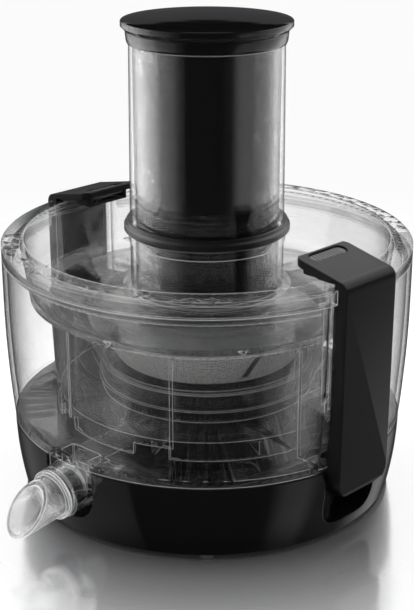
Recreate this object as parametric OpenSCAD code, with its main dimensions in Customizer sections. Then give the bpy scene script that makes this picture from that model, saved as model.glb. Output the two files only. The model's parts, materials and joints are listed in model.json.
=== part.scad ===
// Centrifugal juicer: low motor base, clear bowl and lid, feed tube with pusher,
// spinning sieve, pulp container, juice spout and two swing-out clamps.
// Millimetres, +Z up, origin on the table under the middle of the drive shaft.
// The front is -Y. polar(a) turns a piece to a degrees from the front, towards +X.

/* [Base] */
// Height of the base's top deck above the table
base_height = 40.2; // [39.4:0.2:43]
// How much narrower the base's top edge is than the bowl's rim
base_inset = 3; // [2:0.1:4]
// How much narrower the base is at its lower edge than at its top
base_taper = 4.4; // [2:0.2:6]
// Wall thickness of the base housing
base_wall = 2.6; // [2:0.1:3]
// Clearance between the base's lower edge and the table, made by the feet
foot_drop = 2; // [1.6:0.1:3]
// Radius of each rubber foot
foot_r = 9; // [7:0.5:10]
// Distance from the base's top edge in to the circle that the feet stand on
foot_inset = 24; // [22:0.5:30]
// Thickness of the base plate
plate_t = 2.4; // [2:0.1:3]
// Outside radius of the tower that guides the drive shaft
tower_r = 19; // [18:0.5:20]
// Height of the tower above the deck
tower_h = 17.8; // [16:0.2:19]

/* [Bowl] */
// Outside radius of the bowl and of the lid
bowl_r = 103; // [102.5:0.5:105]
// Height of the bowl from its underside to its rim
bowl_h = 84.2; // [82:0.2:90]
// Wall and floor thickness of the bowl
bowl_wall = 2.3; // [2:0.1:2.6]
// Height above the bowl's underside at which its side becomes upright
bowl_swell_h = 59.5; // [50:0.5:70]

/* [Lid] */
// Height of the lid's rim above the bowl
lid_rim_h = 6.5; // [5.5:0.5:9]
// Gap between the basket's rim and the lid's floor
sieve_headroom = 5.1; // [4:0.1:8]
// Wall thickness of the lid
lid_t = 2.2; // [1.8:0.1:2.4]
// Width of the lid's flat flange, from its outer edge to the recess
flange_w = 11.5; // [10.5:0.5:12]
// Height of the fine ridge round the recess
ridge_h = 1.3; // [0.8:0.1:1.5]
// Radius of the grip dots on the flange
dot_r = 1.2; // [0.8:0.1:1.6]

/* [Feed tube and pusher] */
// Outside radius of the feed tube at the lid
tube_r = 38.6; // [37.6:0.1:39]
// How much narrower the feed tube is at its top than at the lid
tube_taper = 0.8; // [0.2:0.1:1.2]
// Wall thickness of the feed tube
tube_wall = 1.8; // [1.5:0.1:2.2]
// Height of the feed tube's top above the lid's rim
tube_rise = 95.7; // [80:0.1:110]
// Clearance all round between the pusher and the tube
pusher_gap = 0.6; // [0.4:0.05:0.8]
// How far the pusher's cap stands out past the feed tube
cap_over = 3.7; // [3.4:0.1:6]
// Height of the pusher's cap
cap_h = 12.5; // [11:0.1:16]

/* [Sieve] */
// Distance from the bowl's rim in to the sieve mesh at its top
mesh_inset = 44; // [43.5:0.5:46]
// How much wider the sieve mesh is at its top than at its foot
mesh_flare = 12; // [10:0.5:13]
// Height of the sieve mesh
mesh_h = 20; // [18:0.5:22]
// Thickness of the sieve's sheet metal
sheet_t = 0.6; // [0.5:0.1:0.8]
// How much narrower the hub cup's lower edge is than the mesh's foot
hub_step = 7; // [5:0.5:9]
// Height of the rim ring on the sieve
rim_h = 7.5; // [6:0.5:8]

/* [Pulp container] */
// Distance from the bowl's rim in to the pulp container at its top
pulp_inset = 23; // [22.5:0.5:25]
// Wall thickness of the pulp container and of the juice collector
pulp_wall = 1.8; // [1.5:0.1:2.2]
// Height of the juice channel under the pulp container's floor
channel_h = 7; // [6:0.2:9]
// Radial room between the mesh's foot and the pulp container's inner wall
sieve_room = 5.4; // [4:0.2:6]

/* [Clamps] */
// Width of each clamp arm
clamp_w = 35.2; // [30:0.2:36]
// How far the clamp's outer face stands out past the bowl's rim
clamp_proud = 2.5; // [2:0.25:4]
// Thickness of the clamp's leg
clamp_t = 7.3; // [6.5:0.1:7.5]
// Length of the clamp's top, from its outer face to its inner end
clamp_reach = 31.7; // [28.5:0.1:34.5]
// Rise of the clamp's top from the bend to its inner end
clamp_rise = 6.8; // [5:0.2:8]
// Angle from the front to the first clamp
clamp_az = 45; // [38:1:52]
// Radius of the clamp's hinge pin
pin_r = 2; // [1.5:0.1:2.2]

/* [Spout] */
// Angle from the front to the spout, clockwise seen from above
spout_az = 42; // [36:1:48]
// Outside radius of the spout
spout_r = 10.5; // [9:0.1:11]
// Wall thickness of the spout
spout_wall = 1.9; // [1.5:0.1:2.4]
// Downward slope of the spout, in degrees
spout_slope = 5; // [2:0.5:7]
// How far the spout's lower lip stands out past the base
spout_reach = 38; // [30:1:44]
// How much further the lower lip reaches than the upper one
spout_bevel = 20; // [10:1:22]

/* [Motor] */
// Distance from the base's top edge in to the motor's turning bell
motor_inset = 57; // [56:0.5:59]
// Height of the stator's laminations
stack_h = 13; // [11:0.5:14]
// Number of stator teeth
teeth = 12; // [9:3:15]
// Number of magnets in the bell
magnets = 14; // [10:2:16]
// Radius of the drive shaft
shaft_r = 3.96; // [3.9:0.01:3.98]

/* [Hidden] */
$fn = 96;
eps = 0.01;
seat = 0.3;            // gap between pieces that rest on each other
fit = 0.06;            // running clearance of a pin or shaft, all round
loose = 0.6;           // clearance round a moving arm or a spinning cup

// levels, from the table upwards
deck_z = base_height;
bowl_z0 = deck_z + seat;
floor_z = bowl_z0 + bowl_wall;
bowl_top = bowl_z0 + bowl_h;
lid_z0 = bowl_top + seat;
lid_top = lid_z0 + lid_rim_h;
tower_top = deck_z + tower_h;
disc_z = tower_top + 11;
disc_t = 1;
mesh_z0 = disc_z + disc_t;
mesh_z1 = mesh_z0 + mesh_h;
rim_z0 = mesh_z1 - 0.6;
rim_z1 = rim_z0 + rim_h;
recess_low = rim_z1 + sieve_headroom;
recess_z = recess_low + lid_t;
tube_top = lid_top + tube_rise;
tube_low = mesh_z0 + 8;
cap_z0 = tube_top + seat;
cap_top = cap_z0 + cap_h;
pusher_low = mesh_z0 + 4;

// radii
base_r = bowl_r - base_inset;
foot_circle_r = base_r - foot_inset;
tube_top_r = tube_r - tube_taper;
cap_r = tube_top_r + cap_over;
mesh_r1 = bowl_r - mesh_inset;
mesh_r0 = mesh_r1 - mesh_flare;
hub_r0 = mesh_r0 - hub_step;
pulp_r = bowl_r - pulp_inset;
pulp_inner_r = mesh_r0 + sieve_room;
bell_r = base_r - motor_inset;
flange_r = bowl_r - flange_w;
tube_in = tube_top_r - tube_wall;
pusher_r = tube_in - pusher_gap;
chimney_in = tower_r + 1;
chimney_out = chimney_in + bowl_wall;
hub_r1 = mesh_r0 - 1;
bearing_r = 11;
bearing_h = 7;
seal_r = 9;

// clamp geometry, in the plane of the arm
clamp_out = bowl_r + clamp_proud;
clamp_in = clamp_out - clamp_reach;
arm_in = clamp_out - clamp_t;
flat_u = arm_in - loose;          // flat on the bowl and lid behind the leg
half_w = clamp_w / 2;
notch_half = half_w + 2 * loose;
pin_u = clamp_out - clamp_t - 7.2;
pin_z = base_height - 4.2;
arm_low = pin_z - 10;
bend_z = lid_top + 2.6;
clamp_top_z = bend_z + clamp_rise;
well_in = pin_u - 7;
well_low = pin_z - 27;
well_corner = 10;
pocket_top = bowl_z0 + 31.5;
ear_r = 4.6;
ear_in = 10;
ear_out = 14.2;
knuckle_half = ear_in - 0.4;
liner_t = 1.8;
liner_half = half_w - 3;
liner_z0 = pin_z + 24;
liner_z1 = lid_top - 6;
slope_a = atan(clamp_rise / (clamp_out - clamp_in));

// button on the clamp's top
slot_l = 24;
slot_w = 7;
slot_u = clamp_in + 2 + slot_w / 2;
button_gap = 0.35;
button_h = 5;

// juice outlet
spout_z = 28.3;
spout_u = base_r - 2;
sump_wall = 2.2;
socket_bore = spout_r + seat;
socket_r = socket_bore + sump_wall;
sump_in = spout_u - 14;
socket_end = 8;
notch_r = socket_r + 2.6;
notch_in = sump_in - 2;

// motor
rotor_z0 = foot_drop + plate_t + 3;
bell_t = 2;
bell_h = stack_h + 8;
magnet_t = 2;
air_gap = 0.8;
stator_r = bell_r - bell_t - magnet_t - air_gap;
stator_z0 = rotor_z0 + bell_t + 3;
mount_tube_r = bearing_r + 2.4;
mount_z1 = deck_z - base_wall - 3.2;
mount_z0 = mount_z1 - 3;
mount_r = 30;
lower_bearing_z = stator_z0 + 1;
upper_bearing_z = tower_top - 4 - bearing_h;

// rear panel
inlet_az = 166;
rocker_az = 194;
inlet_w = 26;
inlet_h = 17;
inlet_z = 21;
inlet_depth = 16;
pin_pitch = 13;
panel_u = base_r - 2.6;
flange_edge = 5;       // how much wider a panel flange is than its body
rocker_w = 13;
rocker_h = 19;

// ---------- helpers ----------

// turns local +X outwards at a degrees from the front, towards +X
module polar(a) rotate([0, 0, a - 90]) children();

// upright ring or tube
module ring(r_out, r_in, z0, z1) {
    translate([0, 0, z0]) difference() {
        cylinder(r = r_out, h = z1 - z0);
        translate([0, 0, -1]) cylinder(r = r_in, h = z1 - z0 + 2);
    }
}

// upright disc or rod
module disc(r, z0, z1) translate([0, 0, z0]) cylinder(r = r, h = z1 - z0);

// block from low corner to high corner
module block(a, b) translate(a) cube(b - a);

// flat outline with round corners, middle at the origin
module rounded_rect(w, h, r) {
    square([w - 2 * r, h], center = true);
    square([w, h - 2 * r], center = true);
    for (x = [-1, 1], y = [-1, 1]) translate([x * (w / 2 - r), y * (h / 2 - r)]) circle(r = r, $fn = 48);
}

// side profile in the (u, z) plane, made half thick each way along v
module side_plate(half) rotate([90, 0, 0]) translate([0, 0, -half]) linear_extrude(2 * half) children();

// front outline in the (v, z) plane, run along u from u0 to u1
module front_plate(u0, u1) {
    translate([u0, 0, 0]) rotate([90, 0, 90]) linear_extrude(u1 - u0) children();
}

// points of a round arc, from angle a0 to a1
function arc(cx, cy, r, a0, a1, n = 6) =
    [for (i = [0:n]) [cx + r * cos(a0 + (a1 - a0) * i / n), cy + r * sin(a0 + (a1 - a0) * i / n)]];

// ---------- outlines shared by several pieces ----------

// radius of the base's outside at height z
function base_side(z) = base_r - base_taper * pow((deck_z - z) / (deck_z - foot_drop), 2);

// radius of the bowl's outside at height z
function bowl_side(z) = bowl_r - (bowl_r - base_r) * pow(max(0, 1 - (z - bowl_z0) / bowl_swell_h), 2);

module bowl_outline(shrink) {
    steps = 10;
    polygon(concat([[0, bowl_z0]],
        [for (i = [0:steps]) let (z = bowl_z0 + bowl_swell_h * i / steps) [bowl_side(z) - shrink, z]],
        [[bowl_r - shrink, bowl_top], [0, bowl_top]]));
}

// round-bottomed upright slot, w wide from the middle line, from z0 to z1
module u_slot(half, corner, z0, z1) {
    translate([-half, z0 + corner]) square([2 * half, z1 - z0 - corner]);
    translate([-half + corner, z0]) square([2 * (half - corner), corner + eps]);
    for (s = [-1, 1]) translate([s * (half - corner), z0 + corner]) circle(r = corner);
}

// solid that runs along the spout's sloping axis, from distance s0 to s1 past spout_u
module along_spout(s0, s1, r) {
    polar(-spout_az) translate([spout_u, 0, spout_z]) rotate([0, 90 + spout_slope, 0])
        translate([0, 0, s0]) cylinder(r = r, h = s1 - s0);
}

// ---------- base ----------

module base_outline() {
    steps = 8;
    polygon(concat([[0, foot_drop], [base_side(foot_drop) - 1.5, foot_drop]],
        [for (i = [0:steps]) let (z = foot_drop + 1.2 + (deck_z - foot_drop - 1.9) * i / steps)
            [base_side(z), z]],
        [[base_r - 0.7, deck_z], [0, deck_z]]));
}

module well(grow) {
    for (a = [clamp_az, clamp_az + 180]) polar(a) front_plate(well_in - grow, bowl_r + 8)
        u_slot(notch_half + grow, well_corner + grow, well_low - grow, deck_z + 5);
}

module spout_notch(grow) {
    polar(-spout_az) front_plate(notch_in - grow, bowl_r + 8)
        u_slot(notch_r + grow, notch_r + grow - eps, spout_z - notch_r - grow - 1.5, deck_z + 5);
}

module base_housing() color([0.06, 0.06, 0.065]) difference() {
    union() {
        difference() {
            rotate_extrude() base_outline();
            difference() {
                translate([0, 0, -1]) cylinder(r = base_side(foot_drop) - base_wall,
                    h = deck_z - base_wall + 1);
                well(base_wall);
                spout_notch(base_wall);
                for (i = [0:5]) rotate([0, 0, screw_angle(i)]) translate([screw_circle_r, 0, 0])
                    cylinder(r = 4, h = deck_z);
                for (i = [0:3]) rotate([0, 0, 45 + 90 * i]) translate([mount_r - 5, 0, mount_z1])
                    cylinder(r = 4, h = deck_z);
            }
        }
        disc(tower_r, deck_z - eps, tower_top);
    }
    translate([0, 0, 0]) cylinder(r = base_side(foot_drop) - base_wall, h = foot_drop + plate_t + seat);
    well(0);
    spout_notch(0);
    disc(tower_r - base_wall, -1, tower_top - 6 - bearing_h);
    disc(bearing_r + fit, 0, tower_top - 4);
    disc(seal_r + fit, 0, tower_top + 1);
    for (i = [0:5]) rotate([0, 0, screw_angle(i)]) translate([screw_circle_r, 0, foot_drop])
        cylinder(r = 1.5, h = plate_t + 10);
    for (i = [0:3]) rotate([0, 0, 45 + 90 * i]) translate([mount_r - 5, 0, mount_z1 - 1])
        cylinder(r = 1.5, h = 5);
    polar(inlet_az) {
        front_plate(panel_u - 30, bowl_r) translate([0, inlet_z])
            square([inlet_w + 2 * seat, inlet_h + 2 * seat], center = true);
        front_plate(panel_u, bowl_r) translate([0, inlet_z])
            rounded_rect(inlet_w + flange_edge + 2 * seat, inlet_h + flange_edge + 2 * seat, 3);
    }
    polar(rocker_az) {
        front_plate(panel_u - 30, bowl_r) translate([0, inlet_z])
            square([rocker_w + 3 + 2 * seat, rocker_h + 3 + 2 * seat], center = true);
        front_plate(panel_u, bowl_r) translate([0, inlet_z])
            rounded_rect(rocker_w + 3 + flange_edge + 2 * seat, rocker_h + 3 + flange_edge + 2 * seat, 3);
    }
}

// the base plate's screws stand clear of the wells and the notch
screw_circle_r = base_r - 11.5;
function screw_angle(i) = [-90, -20, 20, 90, 128, 192][i];

module base_plate() color([0.09, 0.09, 0.1]) difference() {
    union() {
        disc(base_side(foot_drop) - base_wall - seat, foot_drop, foot_drop + plate_t);
        for (x = [-1, 1], y = [4, board_d - 4]) translate([x * (board_w / 2 - 4), board_y + y, foot_drop])
            cylinder(r = 3, h = board_z - foot_drop - seat);
    }
    for (i = [0:5]) rotate([0, 0, screw_angle(i)]) translate([screw_circle_r, 0, 0]) {
        cylinder(r = 1.8, h = 12);
        cylinder(r = 3.4, h = foot_drop + 1.2);
    }
    for (i = [0:23]) rotate([0, 0, 15 * i]) translate([20, -1.2, 0]) cube([18, 2.4, 12]);
}

module plate_screws() color([0.55, 0.55, 0.57])
    for (i = [0:5]) rotate([0, 0, screw_angle(i)]) translate([screw_circle_r, 0, 0]) {
        disc(3.1, foot_drop - 0.6, foot_drop + 1.2);
        disc(1.45, foot_drop + 1.1, foot_drop + 11);
    }

module rubber_feet() color([0.13, 0.13, 0.13])
    for (at = concat([[0, 0]], [for (a = [0, 90, 180, 270]) [a, foot_circle_r]]))
        polar(at[0]) translate([at[1], 0, 0]) rotate_extrude()
            polygon([[0, 0], [foot_r - 1, 0], [foot_r, 0.8], [foot_r, foot_drop], [0, foot_drop]]);

// ---------- motor ----------

module motor_mount() color([0.72, 0.73, 0.75]) difference() {
    union() {
        disc(mount_r, mount_z0, mount_z1);
        disc(mount_tube_r, stator_z0, mount_z1);
        disc(mount_tube_r + 3, stator_z0 + stack_h + 0.2, mount_z1);
    }
    disc(shaft_r + 2, 0, deck_z);
    disc(bearing_r + fit, stator_z0 - 1, lower_bearing_z + bearing_h);
    for (i = [0:3]) rotate([0, 0, 45 + 90 * i]) translate([mount_r - 5, 0, mount_z0 - 1])
        cylinder(r = 1.8, h = 6);
}

module mount_screws() color([0.6, 0.6, 0.62])
    for (i = [0:3]) rotate([0, 0, 45 + 90 * i]) translate([mount_r - 5, 0, 0]) {
        disc(3, mount_z0 - 2, mount_z0);
        disc(1.45, mount_z0 - 0.1, mount_z1 + 3.5);
    }

tooth_r = mount_tube_r + 6;

module stator_core() color([0.45, 0.46, 0.48]) difference() {
    union() {
        disc(tooth_r, stator_z0, stator_z0 + stack_h);
        for (i = [0:teeth - 1]) rotate([0, 0, 360 / teeth * i]) translate([tooth_r - 1, -2.5, stator_z0])
            cube([stator_r - tooth_r - 0.5, 5, stack_h]);
        difference() {
            ring(stator_r, stator_r - 2.4, stator_z0, stator_z0 + stack_h);
            for (i = [0:teeth - 1]) rotate([0, 0, 360 / teeth * (i + 0.5)])
                translate([0, -1.5, stator_z0 - 1]) cube([stator_r + 1, 3, stack_h + 2]);
        }
    }
    disc(mount_tube_r + fit, 0, deck_z);
}

module stator_windings() color([0.72, 0.42, 0.2])
    for (i = [0:teeth - 1]) rotate([0, 0, 360 / teeth * i]) difference() {
        translate([tooth_r + 0.6, -4, stator_z0 - 1.8]) cube([stator_r - tooth_r - 4, 8, stack_h + 3.6]);
        translate([0, -2.5 - fit, stator_z0 - fit]) cube([stator_r, 5 + 2 * fit, stack_h + 2 * fit]);
    }

module bearing_at(z) {
    ring(bearing_r, bearing_r - 2, z, z + bearing_h);
    ring(bearing_r - 1.9, shaft_r + 1.9, z + 0.8, z + bearing_h - 0.8);
    ring(shaft_r + 2, shaft_r + 0.04, z, z + bearing_h);
}

module lower_bearing() color([0.78, 0.79, 0.8]) bearing_at(lower_bearing_z);

module upper_bearing() color([0.78, 0.79, 0.8]) bearing_at(upper_bearing_z);

module shaft_seal() color([0.16, 0.16, 0.17]) {
    ring(seal_r, seal_r - 1.6, tower_top - 3.8, tower_top - 0.2);
    ring(seal_r - 1.5, shaft_r + 0.1, tower_top - 2.2, tower_top - 0.8);
}

module motor_shaft() color([0.8, 0.81, 0.82]) {
    disc(shaft_r, rotor_z0 - 1.5, disc_z - 4);
    disc(shaft_r + 1.6, lower_bearing_z - 1.9, lower_bearing_z - 0.4);
}

module rotor_bell() color([0.5, 0.51, 0.53]) difference() {
    disc(bell_r, rotor_z0, rotor_z0 + bell_h);
    disc(bell_r - bell_t, rotor_z0 + bell_t, rotor_z0 + bell_h + 1);
    disc(shaft_r, 0, deck_z);
    for (i = [0:7]) rotate([0, 0, 45 * i]) translate([bell_r - 19, 0, rotor_z0 - 1])
        cylinder(r = 5, h = bell_t + 2);
}

module rotor_magnets() color([0.3, 0.3, 0.32]) difference() {
    ring(bell_r - bell_t, bell_r - bell_t - magnet_t, stator_z0 - 0.5, stator_z0 + stack_h + 0.5);
    for (i = [0:magnets - 1]) rotate([0, 0, 360 / magnets * i]) translate([0, -0.7, 0])
        cube([bell_r, 1.4, deck_z]);
}

module cooling_fan() color([0.2, 0.2, 0.22]) {
    ring(bell_r + 3, bell_r + fit, rotor_z0 + 1, rotor_z0 + 4);
    for (i = [0:17]) rotate([0, 0, 20 * i]) translate([bell_r + 2.5, -0.8, rotor_z0 + 1])
        rotate([0, 0, 30]) cube([9, 1.6, 9]);
}

module drive_coupling() color([0.2, 0.2, 0.21]) difference() {
    union() {
        disc(8, tower_top + 0.6, disc_z - 3.6);
        for (i = [0:5]) rotate([0, 0, 60 * i]) translate([6, -1.6, tower_top + 0.6]) cube([4, 3.2, 6.8]);
    }
    disc(shaft_r, 0, disc_z);
}

// ---------- electrics ----------

board_z = foot_drop + plate_t + 3.2;

board_t = 1.6;
board_w = 64;
board_d = 24;
board_y = bell_r + 13;

module control_board() color([0.1, 0.32, 0.2])
    block([-board_w / 2, board_y, board_z], [board_w / 2, board_y + board_d, board_z + board_t]);

module board_parts() color([0.24, 0.24, 0.27]) translate([0, board_y, board_z + board_t]) {
    for (x = [-24, -11]) translate([x, 10, 0]) cylinder(r = 5.5, h = 16);
    block([-3, 1, 0], [11, 5, 13.4]);
    block([15, 1, 0], [25, 6, 5.4]);
    for (x = [-3, 3]) translate([x, 10, 0]) cylinder(r = 2, h = 5);
}

module interlock_switches() color([0.14, 0.14, 0.16])
    for (a = [clamp_az, clamp_az + 180]) polar(a) {
        block([well_in - base_wall - 7, -10, 24], [well_in - base_wall - seat, 10, 34]);
        block([well_in - base_wall - 5, -2, 34], [well_in - base_wall - 2, 2, 36]);
    }

module power_inlet() color([0.1, 0.1, 0.11]) polar(inlet_az) difference() {
    union() {
        block([panel_u - inlet_depth - 3, -inlet_w / 2, inlet_z - inlet_h / 2],
            [panel_u + 2, inlet_w / 2, inlet_z + inlet_h / 2]);
        front_plate(panel_u + seat, panel_u + 3) translate([0, inlet_z])
            rounded_rect(inlet_w + flange_edge, inlet_h + flange_edge, 3);
    }
    front_plate(panel_u - inlet_depth + 1, panel_u + 5) translate([0, inlet_z])
        rounded_rect(inlet_w - 4, inlet_h - 4, 3);
    for (s = [-1, 1]) block([panel_u - 40, s * pin_pitch / 2 - 1 - fit, inlet_z - 3 - fit],
        [panel_u, s * pin_pitch / 2 + 1 + fit, inlet_z + 3 + fit]);
}

module inlet_pins() color([0.8, 0.8, 0.78]) polar(inlet_az)
    for (s = [-1, 1]) block([panel_u - inlet_depth - 7, s * pin_pitch / 2 - 1, inlet_z - 3],
        [panel_u - 3, s * pin_pitch / 2 + 1, inlet_z + 3]);

module switch_bezel() color([0.09, 0.09, 0.1]) polar(rocker_az) difference() {
    union() {
        block([panel_u - 14, -rocker_w / 2 - 1.5, inlet_z - rocker_h / 2 - 1.5],
            [panel_u + 2, rocker_w / 2 + 1.5, inlet_z + rocker_h / 2 + 1.5]);
        front_plate(panel_u + seat, panel_u + 3) translate([0, inlet_z])
            rounded_rect(rocker_w + 3 + flange_edge, rocker_h + 3 + flange_edge, 2.5);
    }
    block([panel_u - 11, -rocker_w / 2, inlet_z - rocker_h / 2],
        [panel_u + 5, rocker_w / 2, inlet_z + rocker_h / 2]);
    translate([panel_u, 0, inlet_z]) rotate([90, 0, 0])
        cylinder(r = 1.2, h = rocker_w + 2.4, center = true);
}

module switch_rocker() color([0.05, 0.05, 0.055]) polar(rocker_az) {
    half = rocker_h / 2 - 0.9;
    side_plate(rocker_w / 2 - 0.4) polygon([[panel_u - 4.5, inlet_z - 3], [panel_u + 1.5, inlet_z - half],
        [panel_u + 3.4, inlet_z - half], [panel_u + 3.0, inlet_z], [panel_u + 5.6, inlet_z + half - 0.6],
        [panel_u + 2.4, inlet_z + half], [panel_u - 4.5, inlet_z + 3]]);
    translate([panel_u, 0, inlet_z]) rotate([90, 0, 0])
        cylinder(r = 1.2 - fit, h = rocker_w + 2.2, center = true);
}

lead_r = 1.2;

module mains_leads() color([0.35, 0.2, 0.14]) {
    for (s = [-1, 1]) polar(inlet_az) translate([panel_u - inlet_depth - 7, s * pin_pitch / 2, inlet_z]) {
        translate([-6, 0, 0]) rotate([0, 90, 0]) cylinder(r = lead_r, h = 6);
        translate([-6, 0, 0]) sphere(r = lead_r);
        translate([-6, 0, board_z + board_t - inlet_z])
            cylinder(r = lead_r, h = inlet_z - board_z - board_t);
    }
}

// ---------- clamp hinges ----------

module hinge_bracket(a) polar(a) difference() {
    union() {
        block([well_in + seat, -ear_out, pin_z - 8], [well_in + 1.9, ear_out, pin_z + ear_r]);
        for (s = [-1, 1]) translate([0, s * (ear_in + ear_out) / 2, 0])
            side_plate((ear_out - ear_in) / 2) union() {
            translate([pin_u, pin_z]) circle(r = ear_r);
            translate([well_in + seat, pin_z - ear_r]) square([pin_u - well_in - seat, 2 * ear_r]);
        }
    }
    translate([pin_u, 0, pin_z]) rotate([90, 0, 0])
        cylinder(r = pin_r + 0.02, h = clamp_w + 4, center = true);
}

module front_hinge_bracket() color([0.1, 0.1, 0.11]) hinge_bracket(clamp_az);

module rear_hinge_bracket() color([0.1, 0.1, 0.11]) hinge_bracket(clamp_az + 180);

module hinge_pin(a) polar(a) translate([pin_u, 0, pin_z]) rotate([90, 0, 0])
    cylinder(r = pin_r, h = 2 * ear_out, center = true);

module front_hinge_pin() color([0.75, 0.75, 0.77]) hinge_pin(clamp_az);

module rear_hinge_pin() color([0.75, 0.75, 0.77]) hinge_pin(clamp_az + 180);

// ---------- bowl ----------

module clamp_flat(solid_u, z0, z1) {
    for (a = [clamp_az, clamp_az + 180]) polar(a)
        block([solid_u, -notch_half, z0], [bowl_r + 8, notch_half, z1]);
}

module flat_wall(u, z0, z1, w) {
    for (a = [clamp_az, clamp_az + 180]) polar(a)
        block([u, -notch_half - w, z0], [bowl_r + 8, notch_half + w, z1]);
}

module sump_outside() {
    intersection() {
        union() {
            along_spout(sump_in - spout_u - 2, socket_end, socket_r);
            polar(-spout_az) block([sump_in, -socket_r, spout_z], [spout_u + 1, socket_r, bowl_z0]);
        }
        polar(-spout_az) block([sump_in, -socket_r - 1, 0], [bowl_r + 20, socket_r + 1, bowl_z0]);
    }
}

module sump_inside() {
    polar(-spout_az) block([sump_in + sump_wall, -socket_bore + 1.5, spout_z],
        [base_r - 5.5, socket_bore - 1.5, floor_z + 1]);
    intersection() {
        along_spout(sump_in - spout_u - 2, socket_end + 5, socket_bore);
        polar(-spout_az) block([sump_in + sump_wall, -socket_r, 0], [bowl_r + 20, socket_r, deck_z]);
    }
}

// the bowl is one moulding, kept as three nodes: its side, its floor and its outlet
module bowl() color([0.85, 0.86, 0.88, 0.35]) difference() {
    union() {
        difference() {
            rotate_extrude() bowl_outline(0);
            difference() {
                translate([0, 0, bowl_wall]) rotate_extrude() bowl_outline(bowl_wall);
                flat_wall(well_in - bowl_wall, 0, pocket_top + bowl_wall, bowl_wall);
                flat_wall(flat_u - bowl_wall, 0, bowl_top, bowl_wall);
            }
            translate([0, 0, bowl_top - bowl_wall - eps]) cylinder(r = bowl_r - bowl_wall, h = 10);
        }
        intersection() {
            flat_wall(flat_u - bowl_wall, bowl_top - 5, bowl_top, bowl_wall);
            disc(bowl_r, 0, bowl_top);
        }
    }
    clamp_flat(flat_u, 0, bowl_top + 1);
    clamp_flat(well_in, 0, pocket_top);
    translate([0, 0, floor_z - deck_z]) cylinder(r = bowl_r + 8, h = deck_z);
}

module bowl_floor() color([0.85, 0.86, 0.88, 0.35]) {
    difference() {
        intersection() {
            rotate_extrude() bowl_outline(0);
            disc(bowl_r, bowl_z0, floor_z);
        }
        clamp_flat(well_in, 0, pocket_top);
        disc(chimney_in, 0, tower_top + 5);
        sump_inside();
    }
    ring(chimney_out, chimney_in, bowl_z0, tower_top + 2);
}

module bowl_outlet() color([0.85, 0.86, 0.88, 0.35]) difference() {
    sump_outside();
    sump_inside();
}

module lid_seal() color([0.75, 0.76, 0.78, 0.7])
    difference() {
        ring(lip_r + 1.3, lip_r + 0.1, lid_z0 - lip_h + 1, lid_z0 - 1.4);
        flat_wall(flat_u - bowl_wall - 3, 0, lid_top, bowl_wall + 3.2);
    }

// ---------- inside the bowl ----------

pulp_z0 = floor_z + seat;
pulp_top = recess_low - 1;
pulp_floor = pulp_z0 + channel_h;
inner_top = disc_z - 3;
collector_lip = mesh_z1 + 1;

pulp_low_r = pulp_r - 2 - pulp_wall;
pulp_feet = [20, 160, 200, 340];

// one moulding, kept as three nodes: its outer wall, its floor and its inner wall
module pulp_container() color([0.85, 0.86, 0.88, 0.35]) {
    difference() {
        rotate_extrude() polygon([[pulp_r - 2, pulp_z0], [pulp_r, pulp_top], [pulp_r - pulp_wall, pulp_top],
            [pulp_low_r, pulp_floor + pulp_wall], [pulp_low_r, pulp_z0]]);
        for (a = [-spout_az - 22, -spout_az + 22, 150]) polar(a)
            block([pulp_r - 10, -9, 0], [pulp_r + 5, 9, pulp_floor - 1]);
    }
    for (i = [0:7]) polar(-12 + 45 * i)
        block([pulp_r - pulp_wall - 1.4, -0.9, pulp_floor], [pulp_r + 0.6, 0.9, pulp_top - 6]);
}

module pulp_floor_ring() color([0.85, 0.86, 0.88, 0.35]) {
    ring(pulp_low_r, pulp_inner_r, pulp_floor, pulp_floor + pulp_wall);
    for (a = pulp_feet) polar(a)
        block([pulp_inner_r + 4, -0.8, pulp_z0], [pulp_r - 5, 0.8, pulp_floor + 0.5]);
}

module pulp_inner_wall() color([0.85, 0.86, 0.88, 0.35])
    ring(pulp_inner_r + pulp_wall, pulp_inner_r, pulp_floor + pulp_wall, inner_top);

module juice_collector() color([0.88, 0.89, 0.9, 0.4]) {
    foot_r0 = pulp_inner_r + pulp_wall + seat;
    lip_r = mesh_r1 + 7;
    rotate_extrude() polygon([[foot_r0, inner_top - 8], [foot_r0 + pulp_wall, inner_top - 8],
        [foot_r0 + pulp_wall, inner_top + 2], [lip_r + pulp_wall, collector_lip],
        [lip_r, collector_lip + 0.8],
        [foot_r0 - 0.6, inner_top + seat + pulp_wall], [pulp_inner_r, inner_top + seat + pulp_wall],
        [pulp_inner_r, inner_top + seat], [foot_r0, inner_top + seat]]);
}

// ---------- lid ----------

wall_low_r = flange_r - 3.5;
lip_r = bowl_r - bowl_wall - 1.6;
lip_h = 5;

module lid_profile() {
    polygon([[wall_low_r, recess_z], [wall_low_r + lid_t - 0.1, recess_z],
        [wall_low_r + lid_t, recess_z + 1], [flange_r + lid_t, lid_top - lid_t],
        [lip_r - 1.4, lid_top - lid_t], [lip_r - 1.4, lid_z0 - lip_h], [lip_r, lid_z0 - lip_h],
        [lip_r, lid_z0], [bowl_r, lid_z0],
        [bowl_r, lid_top - 0.9], [bowl_r - 0.9, lid_top], [flange_r + lid_t, lid_top],
        [flange_r + lid_t - 0.4, lid_top + ridge_h], [flange_r + 0.3, lid_top + ridge_h],
        [flange_r, lid_top], [wall_low_r + 1, recess_z + 1]]);
}

// the floor of the lid's recess, moulded in one with the lid
module lid_floor() color([0.85, 0.86, 0.88, 0.35]) {
    rotate_extrude() polygon([[tube_r + seat, recess_low], [wall_low_r - 0.4 + lid_t, recess_low],
        [wall_low_r + lid_t - 0.1, recess_z], [tube_r + seat, recess_z]]);
    ring(pulp_r + seat + lid_t, pulp_r + seat, recess_low - 4.5, recess_low + eps);
}

module lid_dots(a0, a1, step) {
    for (a = [a0:step:a1]) polar(a) translate([bowl_r - 5, 0, lid_top - 0.2])
        cylinder(r = dot_r, h = 0.7, $fn = 24);
}

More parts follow.
